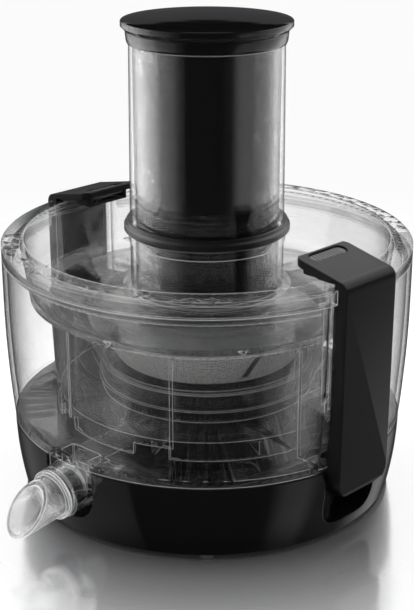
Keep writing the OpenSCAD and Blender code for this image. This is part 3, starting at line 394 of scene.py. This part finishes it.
# each finish, with what it is on and what it gives the eye
FINISHES = {
    # base, hub, pusher and rocker: a polished tool leaves a deep mirror gloss with no grain to see
    "gloss_black_plastic": partial(
        moulded_plastic, "ABS_moulded_polished_black", "gloss_black",
        roughness=0.07, grain_mm=0.8, grain_depth_mm=0.0008, edge_mm=0.6),
    # clamp arms, lock ring, base plate and inlet: a vapour-blasted tool leaves a broad soft shine
    "satin_black_plastic": partial(
        moulded_plastic, "ABS_moulded_satin_black", "satin_black",
        roughness=0.34, grain_mm=0.5, grain_depth_mm=0.012, edge_mm=1.0),
    # hooks, brackets, liners and the fan: a spark-eroded tool leaves a dull grain
    "matte_black_plastic": partial(
        moulded_plastic, "nylon_moulded_grained_black", "grained_black",
        roughness=0.55, grain_mm=0.6, grain_depth_mm=0.03, edge_mm=0.4),
    # bowl, pulp container, collector and tube: thin walls that bend next to nothing of what is behind
    "clear_plastic": partial(
        clear_plastic, "SAN_moulded_clear",
        bent_share=0.012, pass_face=0.99, pass_edge=0.72, edge_mm=0.9, edge_light=0.55),
    # lid: a little more is bent, so that its dots show
    "clear_patterned": partial(
        clear_plastic, "SAN_moulded_clear_patterned",
        bent_share=0.10, pass_face=0.99, pass_edge=0.78, edge_mm=0.9, edge_light=0.70),
    # spout: thick walls that bend about half of what is seen through them, with bright rims
    "clear_thick": partial(
        clear_plastic, "SAN_moulded_clear_thick",
        bent_share=0.45, pass_face=0.98, pass_edge=0.75, edge_mm=1.2, edge_light=0.8, density=8),
    # seals: milkier than the walls they lie against
    "clear_silicone": partial(
        clear_plastic, "silicone_moulded_clear",
        bent_share=0.15, pass_face=0.90, pass_edge=0.50, edge_mm=0.5, edge_light=0.3),
    # clamp buttons: mid grey with a soft shine, so that they stand out from the arms
    "button_grey": partial(
        moulded_plastic, "ABS_moulded_ribbed_grey", "button_grey",
        roughness=0.4, grain_mm=0.5, grain_depth_mm=0.02, edge_mm=0.3),
    # ring round the basket's top: dark grey, half dull
    "smoked_rim": partial(
        moulded_plastic, "nylon_moulded_dark_grey", "rim_grey",
        roughness=0.3, grain_mm=0.7, grain_depth_mm=0.01, edge_mm=0.5),
    # feet and shaft seal: black with no shine
    "rubber": partial(moulded_rubber, "rubber_moulded_black", "202020", grain_mm=0.7),
    # grater disc and basket: a bright web whose holes are painted dark grey as shade
    "stainless_mesh": partial(etched_sheet, "stainless_etched_sheet", "mesh_steel", hole_shade_code="5d5b58"),
    # shafts, pins, bearings, screws and springs: pale, with streaked highlights
    "steel": partial(ground_metal, "steel_ground", "b8b8b6", roughness=0.28, lay_mm=0.4),
    # rotor magnets: darker plating, smooth
    "magnet": partial(ground_metal, "neodymium_nickel_plated", "8c8c90", roughness=0.35, lay_mm=0.8),
    # motor mount: pale and dull, as cast
    "cast_aluminium": partial(ground_metal, "aluminium_die_cast", "b9bbbe", roughness=0.45, lay_mm=1.2),
    # inlet pins: warm white plating with a high shine
    "plated_brass": partial(ground_metal, "brass_nickel_plated", "c9c5b6", roughness=0.22, lay_mm=0.5),
    # coils and leads: orange ridges, with painted shade darkening the grooves between the turns
    "copper": partial(wound_wire, "copper_wire_enamelled", "c77a3c", groove_shade_code="6b3413", wire_mm=0.7),
    # control board: dark green with the weave a shade lighter
    "board_green": partial(glass_epoxy, "glass_epoxy_solder_masked", "12482e", thread_code="1b5a3b"),
}
# the materials made so far
MADE = {}


def finish_for(slot):
    """The material for a slot of the record, made the first time it is asked for."""
    if slot not in MADE:
        MADE[slot] = FINISHES[slot]()
    return MADE[slot]


# ---------- shapes ----------


def clean_copy(node):
    """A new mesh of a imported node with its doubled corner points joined, so that its skin is closed."""
    shape = bmesh.new()
    shape.from_mesh(NODES[node].data)
    bmesh.ops.remove_doubles(shape, verts=shape.verts, dist=SAME_POINT)
    if node in SUNK:
        # the facets of two round pieces never meet exactly, so the rim is sunk a little into the wall
        reach = max(vert.co.xy.length for vert in shape.verts)
        for vert in shape.verts:
            if vert.co.xy.length > reach - RIM_MM * MM:
                vert.co.xy = vert.co.xy * (1 + SINK_MM * MM / reach)
    mesh = mesh_from(shape, node + "_copy")
    mesh.materials.clear()
    return mesh


def one_moulding(name, nodes):
    """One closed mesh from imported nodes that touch, so that no inner face shows where they meet."""
    whole = new_object(name, clean_copy(nodes[0]))
    others = [new_object(name + "_operand", clean_copy(node)) for node in nodes[1:]]
    for other in others:
        union = whole.modifiers.new("join", "BOOLEAN")
        union.operation = "UNION"
        union.solver = "EXACT"
        union.object = other
    bpy.context.view_layer.update()
    joined = whole.evaluated_get(bpy.context.evaluated_depsgraph_get())
    mesh = bpy.data.meshes.new_from_object(joined)
    if len(mesh.polygons) < LEAST_FACES:
        raise RuntimeError(f"The nodes of {name} didn't join.")
    for thing in (whole, *others):
        bpy.data.objects.remove(thing)
    mesh.materials.clear()
    return mesh


def smooth_by_angle(mesh):
    """Smooth shading over curved faces, with every sharp edge kept crisp."""
    mesh.polygons.foreach_set("use_smooth", [True] * len(mesh.polygons))
    mesh.set_sharp_from_angle(angle=math.radians(CRISP_DEGREES))


def spot_weld(shape, centre, along, side):
    """A small round button on the strip, standing out along the normal of its two directions."""
    normal = side.cross(along).normalized()
    angles = [math.tau * k / WELD_SIDES for k in range(WELD_SIDES)]
    rings = []
    for radius, lift in (WELD_FOOT_MM, WELD_TOP_MM):
        rings.append([])
        for a in angles:
            rim = radius * MM * (side * math.cos(a) + along * math.sin(a))
            rings[-1].append(shape.verts.new(centre + rim + normal * lift * MM))
    outer, inner = rings
    for k in range(WELD_SIDES):
        n = (k + 1) % WELD_SIDES
        shape.faces.new((outer[k], outer[n], inner[n], inner[k]))
    shape.faces.new(inner)
    shape.faces.new(outer[::-1])


def seam_strip(low, high, width, proud):
    """A lapped strip up the basket's cone between two points given as radius and height, with a row of spot
    welds."""
    shape = bmesh.new()
    slope = Vector((high[0] - low[0], high[1] - low[1])).normalized()
    out = Vector((slope.y, -slope.x))
    turn_low, turn_high = SEAM_TURNS
    spine = []
    for i in range(SEAM_STEPS + 1):
        t = i / SEAM_STEPS
        turn = turn_low + (turn_high - turn_low) * t
        spine.append((turn, low[0] + (high[0] - low[0]) * t, low[1] + (high[1] - low[1]) * t))
    rings = []
    for turn, radius, height in spine:
        ring = []
        for across, lift in SEAM_SECTION:
            angle = turn + math.degrees(across * width / 2 / radius)
            place = polar(angle, radius + out.x * lift * proud, height + out.y * lift * proud)
            ring.append(shape.verts.new(place))
        rings.append(ring)
    for lower, upper in zip(rings, rings[1:]):
        for j in range(len(lower)):
            k = (j + 1) % len(lower)
            shape.faces.new((lower[j], lower[k], upper[k], upper[j]))
    shape.faces.new(rings[0][::-1])
    shape.faces.new(rings[-1])
    for turn, radius, height in spine[1:-1]:
        centre = polar(turn, radius + out.x * proud, height + out.y * proud)
        spot_weld(shape, centre, polar(turn, slope.x, slope.y).normalized(), polar(turn + 90, 1, 0))
    bmesh.ops.recalc_face_normals(shape, faces=shape.faces)
    return mesh_from(shape, "basket_seam")


# ---------- panel values ----------


def colour(label, words, code):
    """A colour property with its default."""
    return FloatVectorProperty(name=label, description=words, subtype="COLOR", size=3, min=0, max=1,
                               default=hex_colour(code))


def length(label, words, value, low, high):
    """A length property with its default, in metres."""
    return FloatProperty(name=label, description=words, unit="LENGTH", subtype="DISTANCE", precision=5,
                         default=value, min=low, max=high)


class JuicerColours(bpy.types.PropertyGroup):
    """Colours of the juicer's plastics and sheet"""

    gloss_black: colour("Polished black", "Base, hub, pusher and rocker", "0e0e0f")
    satin_black: colour("Satin black", "Clamp arms, lock ring, base plate and inlet", "0f0f10")
    grained_black: colour("Grained black", "Hooks, brackets, liners and fan", "19191a")
    button_grey: colour("Button grey", "The ribbed clamp buttons", "6a6a6a")
    rim_grey: colour("Rim grey", "The ring round the basket's top", "3c3c3d")
    clear_tint: colour("Clear tint", "What clear plastic turns to when seen edge-on or deep", "9aa0a6")
    mesh_steel: colour("Basket steel", "The web of the etched sheet", "dcdad6")
    floor_white: colour("Floor white", "The studio floor", "f4f4f5")


class JuicerSizes(bpy.types.PropertyGroup):
    """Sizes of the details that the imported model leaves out, and of the studio"""

    hole_pitch: length("Hole pitch", "Distance between the basket's drawn holes",
                       1.15 * MM, 0.4 * MM, 3 * MM)
    seam_width: length("Seam width", "Width of the basket's lapped seam",
                       3.2 * MM, 1 * MM, 6 * MM)
    seam_proud: length("Seam height", "How far the seam stands off the basket",
                       0.2 * MM, 0.1 * MM, 0.5 * MM)
    floor_radius: length("Floor radius", "Radius of the studio floor", 3.0, 1.0, 6.0)
    card_radius: length("Card radius", "Distance of the light cards near the juicer from the drive axis",
                        0.32, 0.25, 0.6)


# ---------- operators ----------


class JUICER_OT_dress_nodes(bpy.types.Operator):
    """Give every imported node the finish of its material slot"""

    bl_idname = "juicer.dress_nodes"
    bl_label = "Dress packed nodes"

    def execute(self, context):
        for node, slot in SLOTS.items():
            thing = NODES[node]
            thing.data.materials.clear()
            thing.data.materials.append(finish_for("clear_thick" if node in THICK else slot))
        return {"FINISHED"}


class JUICER_OT_round_edges(bpy.types.Operator):
    """Round the outer edges of the clamp arms, their buttons and the pusher's cap"""

    bl_idname = "juicer.round_edges"
    bl_label = "Round moulded edges"

    def execute(self, context):
        for node, radius in ROUNDED.items():
            thing = NODES[node]
            weld = thing.modifiers.new("join_corners", "WELD")
            weld.merge_threshold = SAME_POINT
            round_over = thing.modifiers.new("round_edges", "BEVEL")
            round_over.width = radius * MM
            round_over.segments = ROUND_SEGMENTS
            round_over.limit_method = "ANGLE"
            round_over.angle_limit = math.radians(ROUND_FROM_DEGREES)
            round_over.harden_normals = True
        return {"FINISHED"}


class JUICER_OT_clear_mouldings(bpy.types.Operator):
    """Make the bowl, the pulp container and the lid one clear moulding each"""

    bl_idname = "juicer.clear_mouldings"
    bl_label = "Join clear mouldings"

    def execute(self, context):
        for name, nodes in MOULDINGS.items():
            mesh = one_moulding(name, nodes)
            smooth_by_angle(mesh)
            finish = finish_for("clear_patterned" if name in DOTTED else "clear_plastic")
            piece = new_object(name, mesh, finish)
            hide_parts(*nodes)
            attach(piece, "base")
        return {"FINISHED"}


class JUICER_OT_button_springs(bpy.types.Operator):
    """Swap each spring under the clamp buttons for a smooth-shaded copy that rides with its joint's parent"""

    bl_idname = "juicer.button_springs"
    bl_label = "Fold the button springs"

    def execute(self, context):
        for joint in frame["record"]["behaviour"]["joints"]:
            for bent in joint.get("deforming_nodes", ()):
                node = bent["node"]
                mesh = clean_copy(node)
                smooth_by_angle(mesh)
                name = node.replace("button_spring", "leaf_spring")
                piece = new_object(name, mesh, finish_for(SLOTS[node]))
                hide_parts(node)
                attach(piece, joint["parent"])
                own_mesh(piece)
        return {"FINISHED"}


class JUICER_OT_basket_seam(bpy.types.Operator):
    """Lay the lapped and spot-welded seam on the basket's etched sheet"""

    bl_idname = "juicer.basket_seam"
    bl_label = "Add the basket's seam"

    def execute(self, context):
        low_corner, high_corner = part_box("sieve_mesh")
        top = (high_corner[0], high_corner[2])
        foot = (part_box("grater_disc")[1][0] + CONE_FOOT_MM * MM, low_corner[2])
        low, high = [
            (foot[0] + share * (top[0] - foot[0]), foot[1] + share * (top[1] - foot[1]))
            for share in SEAM_SHARES
        ]
        mesh = seam_strip(low, high, size_of("seam_width"), size_of("seam_proud"))
        smooth_by_angle(mesh)
        seam = new_object("basket_seam", mesh, finish_for("steel"))
        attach(seam, "sieve")
        return {"FINISHED"}


class JUICER_OT_stage(bpy.types.Operator):
    """Make the pale floor, the soft studio light and the camera"""

    bl_idname = "juicer.stage"
    bl_label = "Make the studio"

    def execute(self, context):
        make_floor()
        make_cards()
        make_world(context.scene)
        make_lamps(context.scene)
        make_camera(context.scene)
        return {"FINISHED"}


# ---------- studio ----------

# how much the floor mirrors, by metres from the drive axis
FLOOR_MIRROR = ((0.095, 0.90), (0.125, 0.80), (0.165, 0.58), (0.19, 0.46), (0.30, 0.0))
# where the floor fades into the background, in metres from the drive axis
FLOOR_FADE = (0.22, 0.60)
# sides of the floor's disc and of the cards' rings
ROUND_SIDES = 96

# next, brightness by share of a turn, where a quarter is the left, a half the front, three quarters the right
EVEN_LIGHT = ((0.0, 1.0), (1.0, 1.0))
# what the tube mirrors: a tall soft light at each side, and darkness between them in front
TUBE_LIGHTS = ((0.0, 0.008), (0.075, 0.012), (0.13, 0.45), (0.17, 0.75), (0.205, 1.0), (0.245, 0.78),
               (0.285, 0.56), (0.30, 0.28), (0.36, 0.11), (0.405, 0.03), (0.418, 0.0), (0.56, 0.0),
               (0.60, 0.012), (0.665, 0.045), (0.70, 0.17), (0.74, 0.25), (0.80, 0.34), (0.87, 0.45),
               (0.925, 0.012), (1.0, 0.008))
# what low, outward-facing walls mirror: dark in front and behind, grey at the left, and lighter at both ends
# of the right
LOW_SURROUND = ((0.0, 0.04), (0.08, 0.06), (0.13, 0.30), (0.25, 0.22), (0.34, 0.20), (0.366, 0.16),
                (0.374, 0.02), (0.605, 0.02), (0.635, 0.35), (0.67, 0.42), (0.70, 0.12), (0.78, 0.10),
                (0.84, 0.5), (0.88, 0.6), (0.93, 0.06), (1.0, 0.04))
# what the clear mouldings mirror as well: light at the sides, so that their walls show, and dark in front
# and behind
CLEAR_LIGHTS = ((0.0, 0.02), (0.07, 0.04), (0.12, 0.8), (0.20, 0.9), (0.34, 1.0), (0.42, 0.5), (0.46, 0.02),
                (0.55, 0.0), (0.60, 0.3), (0.68, 0.9), (0.80, 0.9), (0.88, 0.8), (0.93, 0.04), (1.0, 0.02))
# streaks of light along the spout
SPOUT_LIGHTS = ((0.0, 0.2), (0.12, 1.0), (0.20, 0.1), (0.28, 1.0), (0.36, 0.9), (0.42, 0.05), (0.52, 0.7),
                (0.60, 0.1), (0.80, 0.6), (1.0, 0.2))
# what the floor mirrors at the front, where the light overhead doesn't reach
FLOOR_LIGHTS = ((0.0, 0.0), (0.22, 0.0), (0.30, 1.0), (0.70, 1.0), (0.78, 0.2), (1.0, 0.0))
# the light overhead stands to the back, so that slopes facing the front stay dark
ABOVE_BY_TURN = ((0.0, 1.0), (0.22, 1.0), (0.30, 0.12), (0.70, 0.06), (0.78, 0.8), (1.0, 1.0))

# brightness by height from straight down to straight up: the dark below, then the broad light overhead
ABOVE_BY_HEIGHT = ((0.0, 0.06), (0.62, 0.05), (0.67, 0.85), (0.70, 1.0), (1.0, 1.0))
# the low surround sets in between these heights of a direction, from below and from above, where straight
# down is -1 and straight up is 1
SURROUND_FLOOR = (-0.85, -0.65)
SURROUND_TOP = (0.02, -0.18)
# strength of the world's even light on matt surfaces
FILL = 0.62

# how far the black flag and the far cards stand from the drive axis, in metres
FLAG_RADIUS = 0.06
FAR_RADIUS = 1.0

# each lamp's name, place and width in metres, and power in watts
LAMPS = (
    ("lamp_overhead", (-0.15, 0.15, 1.3), 1.1, 10.0),
    ("lamp_left", (-1.1, -0.3, 0.7), 0.8, 4.0),
    ("lamp_right", (1.1, 0.2, 0.7), 0.8, 3.0),
)
LAMPS_AIM = Vector((0, 0, 0.1))

# the camera's place in metres, and its tilt in degrees, where 90 would be level
CAMERA_PLACE = (0.0, -0.64084, 0.3350)
CAMERA_TILT = 69.298
CAMERA_SENSOR_MM = 36.0
CAMERA_LENS_MM = 78.66


def make_floor():
    """A white acrylic disc that mirrors what stands on it, less so further out, and fades into the white
    background. It isn't mirrored itself, so that walls mirror the quiet surround instead."""
    shape = bmesh.new()
    bmesh.ops.create_circle(shape, cap_ends=True, radius=size_of("floor_radius"), segments=ROUND_SIDES)
    mesh = mesh_from(shape, "floor")
    material, tree, output = new_tree("acrylic_sheet_white")
    where = add(tree, "TexCoord").outputs["Object"]
    away = add(tree, "VectorMath", {0: where}, operation="LENGTH")
    fade = add(tree, "MapRange", {"Value": away.outputs["Value"], "From Min": FLOOR_FADE[0],
               "From Max": FLOOR_FADE[1]}, interpolation_type="SMOOTHSTEP")
    mirror = add(tree, "ValToRGB", {"Fac": away.outputs["Value"]}, stops=grey_stops(FLOOR_MIRROR))
    speck = add(tree, "TexNoise", {"Vector": where, "Scale": 1 / (SPECK_MM * MM), "Detail": 2.0})
    rough = add(tree, "MapRange", {"Value": speck.outputs["Fac"], "To Min": 0.10, "To Max": 0.16})
    matt = add(tree, "BsdfDiffuse", {"Color": paint("floor_white")})
    gloss = add(tree, "BsdfGlossy", {"Color": grey(0.99), "Roughness": rough.outputs["Result"]})
    sheet = add(tree, "MixShader", {"Fac": mirror.outputs["Color"], 1: matt.outputs[0],
                2: gloss.outputs[0]})
    beyond = add(tree, "BsdfTransparent")
    mixed = add(tree, "MixShader", {"Fac": fade.outputs["Result"], 1: sheet.outputs[0],
                2: beyond.outputs[0]})
    tree.links.new(mixed.outputs[0], output.inputs["Surface"])
    floor = new_object("floor", mesh, material)
    floor.visible_glossy = False


def turn_share(tree, vector):
    """The share of a turn that a direction makes round the drive axis, where a half is the front."""
    axes = add(tree, "SeparateXYZ", {"Vector": vector})
    back = add(tree, "Math", {0: axes.outputs["Y"], 1: -1.0}, operation="MULTIPLY")
    turn = add(tree, "Math", {0: axes.outputs["X"], 1: back.outputs[0]}, operation="ARCTAN2")
    share = add(tree, "MapRange", {"Value": turn.outputs[0], "From Min": -math.pi, "From Max": math.pi})
    return share.outputs["Result"]


def ring_card(name, radius, low, high, rows, strength, lit_things):
    """A ring of soft light round the object between two heights, seen only in the reflections of some things
    and clear to all else. Rows give brightness by share of a turn. One with no strength is a black flag,
    which hides what is behind it."""
    shape = bmesh.new()
    rings = [[shape.verts.new(polar(360 * i / ROUND_SIDES, radius, z)) for i in range(ROUND_SIDES)]
             for z in (low, high)]
    for i in range(ROUND_SIDES):
        k = (i + 1) % ROUND_SIDES
        shape.faces.new((rings[0][i], rings[0][k], rings[1][k], rings[1][i]))
    mesh = mesh_from(shape, name)
    material, tree, output = new_tree(name + "_light")
    material.cycles.emission_sampling = "NONE"
    share = turn_share(tree, add(tree, "TexCoord").outputs["Object"])
    level = add(tree, "ValToRGB", {"Fac": share}, stops=grey_stops(rows))
    path = add(tree, "LightPath")
    reflected = add(tree, "Math", {0: path.outputs["Glossy Depth"], 1: 0.5}, operation="GREATER_THAN")
    power = add(tree, "Math", {0: reflected.outputs[0], 1: strength}, operation="MULTIPLY")
    light = add(tree, "Emission", {"Color": level.outputs["Color"], "Strength": power.outputs[0]})
    clear = add(tree, "BsdfTransparent")
    both = add(tree, "AddShader", {0: light.outputs[0], 1: clear.outputs[0]})
    tree.links.new((both if strength else light).outputs[0], output.inputs["Surface"])
    card = new_object(name, mesh, material)
    card.visible_camera = False
    card.visible_diffuse = False
    card.visible_shadow = False
    receivers = bpy.data.collections.new(name + "_lights")
    for thing in lit_things:
        receivers.objects.link(thing)
    card.light_linking.receiver_collection = receivers


def make_cards():
    """What the gloss of single pieces mirrors: soft lights for the tube, the basket, the clear mouldings,
    the spout and the floor, and a black flag round the pusher's cap."""
    near = size_of("card_radius")
    tube = [NODES[node] for node in TUBE_PIECES]
    basket = [NODES["sieve_mesh"], NODES["sieve_rim"]]
    clear = [bpy.data.objects[name] for name in (*MOULDINGS, "juice_collector")]
    floor = [bpy.data.objects["floor"]]
    for card in (
        # name, radius, lowest and highest point in metres, light round the turn, strength, what mirrors it
        ("card_tube", near, 0.0, 0.46, TUBE_LIGHTS, 6.0, tube),
        ("card_basket", near, -0.2, 0.46, EVEN_LIGHT, 1.2, basket),
        ("flag_cap", FLAG_RADIUS, 0.255, 0.42, EVEN_LIGHT, 0.0, [NODES["pusher_cap"]]),
        ("card_clear", near, -0.3, 0.3, CLEAR_LIGHTS, 1.7, clear),
        ("card_spout", near, -0.3, 0.3, SPOUT_LIGHTS, 3.0, [NODES["juice_spout"]]),
        ("card_floor_low", FAR_RADIUS, 0.0, 0.40, EVEN_LIGHT, 0.85, floor),
        ("card_floor_high", FAR_RADIUS, 0.40, 3.0, FLOOR_LIGHTS, 0.9, floor),
    ):
        ring_card(*card)


def make_world(scene):
    """White behind everything, even light on matt surfaces, and a quiet surround for gloss to reflect."""
    world = bpy.data.worlds.new("studio")
    scene.world = world
    world.use_nodes = True
    world.cycles.sampling_method = "NONE"
    tree = world.node_tree
    tree.nodes.clear()
    output = add(tree, "OutputWorld")
    direction = add(tree, "TexCoord").outputs["Generated"]
    height = add(tree, "SeparateXYZ", {"Vector": direction}).outputs["Z"]
    low = add(tree, "ValToRGB", {"Fac": turn_share(tree, direction)}, stops=grey_stops(LOW_SURROUND))
    share = add(tree, "MapRange", {"Value": height, "From Min": -1.0, "From Max": 1.0})
    tall = add(tree, "ValToRGB", {"Fac": share.outputs["Result"]}, stops=grey_stops(ABOVE_BY_HEIGHT))
    turned = add(tree, "ValToRGB", {"Fac": turn_share(tree, direction)}, stops=grey_stops(ABOVE_BY_TURN))
    above = add(tree, "Math", {0: tall.outputs["Color"], 1: turned.outputs["Color"]}, operation="MULTIPLY")
    ends = [
        add(tree, "MapRange", {"Value": height, "From Min": start, "From Max": stop},
            interpolation_type="SMOOTHSTEP").outputs["Result"]
        for start, stop in (SURROUND_FLOOR, SURROUND_TOP)
    ]
    walls = add(tree, "Math", {0: ends[0], 1: ends[1]}, operation="MULTIPLY")
    shine = add(tree, "Mix", {"Factor": walls.outputs[0], "A": above.outputs[0], "B": low.outputs["Color"]},
                data_type="FLOAT")
    path = add(tree, "LightPath")
    even = add(tree, "Background", {"Color": grey(1.0), "Strength": FILL})
    white = add(tree, "Background", {"Color": solid("fbfbfb"), "Strength": 1.0})
    gloss = add(tree, "Background", {"Color": grey(1.0), "Strength": shine.outputs["Result"]})
    reflected = add(tree, "Math", {0: path.outputs["Glossy Depth"], 1: 0.5}, operation="GREATER_THAN")
    through = add(tree, "Math", {0: path.outputs["Is Camera Ray"], 1: path.outputs["Is Transmission Ray"]},
                  operation="MAXIMUM")
    first = add(tree, "MixShader", {"Fac": through.outputs[0], 1: even.outputs[0], 2: white.outputs[0]})
    scattered = add(tree, "Math", {0: path.outputs["Is Diffuse Ray"], 1: 0.5}, operation="LESS_THAN")
    glossy = add(tree, "Math", {0: reflected.outputs[0], 1: scattered.outputs[0]}, operation="MULTIPLY")
    last = add(tree, "MixShader", {"Fac": glossy.outputs[0], 1: first.outputs[0], 2: gloss.outputs[0]})
    tree.links.new(last.outputs[0], output.inputs["Surface"])


def make_lamps(scene):
    """One broad lamp overhead and one at each side, all soft and none of them mirrored."""
    for name, place, size, power in LAMPS:
        data = bpy.data.lights.new(name, "AREA")
        data.size = size
        data.energy = power
        lamp = bpy.data.objects.new(name, data)
        lamp.location = place
        lamp.rotation_euler = (LAMPS_AIM - Vector(place)).to_track_quat("-Z", "Y").to_euler()
        lamp.visible_camera = False
        lamp.visible_glossy = False
        lamp.visible_transmission = False
        scene.collection.objects.link(lamp)


def make_camera(scene):
    """A camera in front of the juicer and above it, looking down at it, with no roll and no shift."""
    data = bpy.data.cameras.new("camera")
    data.sensor_width = CAMERA_SENSOR_MM
    data.lens = CAMERA_LENS_MM
    data.clip_start = 0.01
    camera = bpy.data.objects.new("camera", data)
    camera.location = CAMERA_PLACE
    camera.rotation_euler = (math.radians(CAMERA_TILT), 0, 0)
    scene.collection.objects.link(camera)
    scene.camera = camera
    # light has to pass four clear walls on its way in and out of the basket
    scene.cycles.max_bounces = 24
    scene.cycles.transmission_bounces = 20
    scene.cycles.transparent_max_bounces = 24


# ---------- panel and registration ----------

STEPS = (
    JUICER_OT_dress_nodes,
    JUICER_OT_round_edges,
    JUICER_OT_clear_mouldings,
    JUICER_OT_button_springs,
    JUICER_OT_basket_seam,
    JUICER_OT_stage,
)


class JUICER_PT_panel(bpy.types.Panel):
    """Sizes, colours and steps of the juicer"""

    bl_idname = "JUICER_PT_panel"
    bl_label = "Juicer"
    bl_space_type = "VIEW_3D"
    bl_region_type = "UI"
    bl_category = "Juicer"

    def draw(self, context):
        for group in (context.scene.juicer_sizes, context.scene.juicer_colours):
            box = self.layout.box()
            for name in type(group).__annotations__:
                box.prop(group, name)
        for step in STEPS:
            self.layout.operator(step.bl_idname)


CLASSES = (JuicerColours, JuicerSizes, *STEPS, JUICER_PT_panel)


def register():
    """Registers the panel, its values and the steps."""
    for cls in CLASSES:
        bpy.utils.register_class(cls)
    bpy.types.Scene.juicer_colours = PointerProperty(type=JuicerColours)
    bpy.types.Scene.juicer_sizes = PointerProperty(type=JuicerSizes)


def unregister():
    """Takes back what register does."""
    del bpy.types.Scene.juicer_sizes
    del bpy.types.Scene.juicer_colours
    for cls in reversed(CLASSES):
        bpy.utils.unregister_class(cls)


def main():
    """Runs the steps in order."""
    register()
    bpy.context.scene.view_settings.view_transform = "Standard"
    bpy.ops.juicer.dress_nodes()
    bpy.ops.juicer.round_edges()
    bpy.ops.juicer.clear_mouldings()
    bpy.ops.juicer.button_springs()
    bpy.ops.juicer.basket_seam()
    bpy.ops.juicer.stage()


if __name__ == "__main__":
    main()
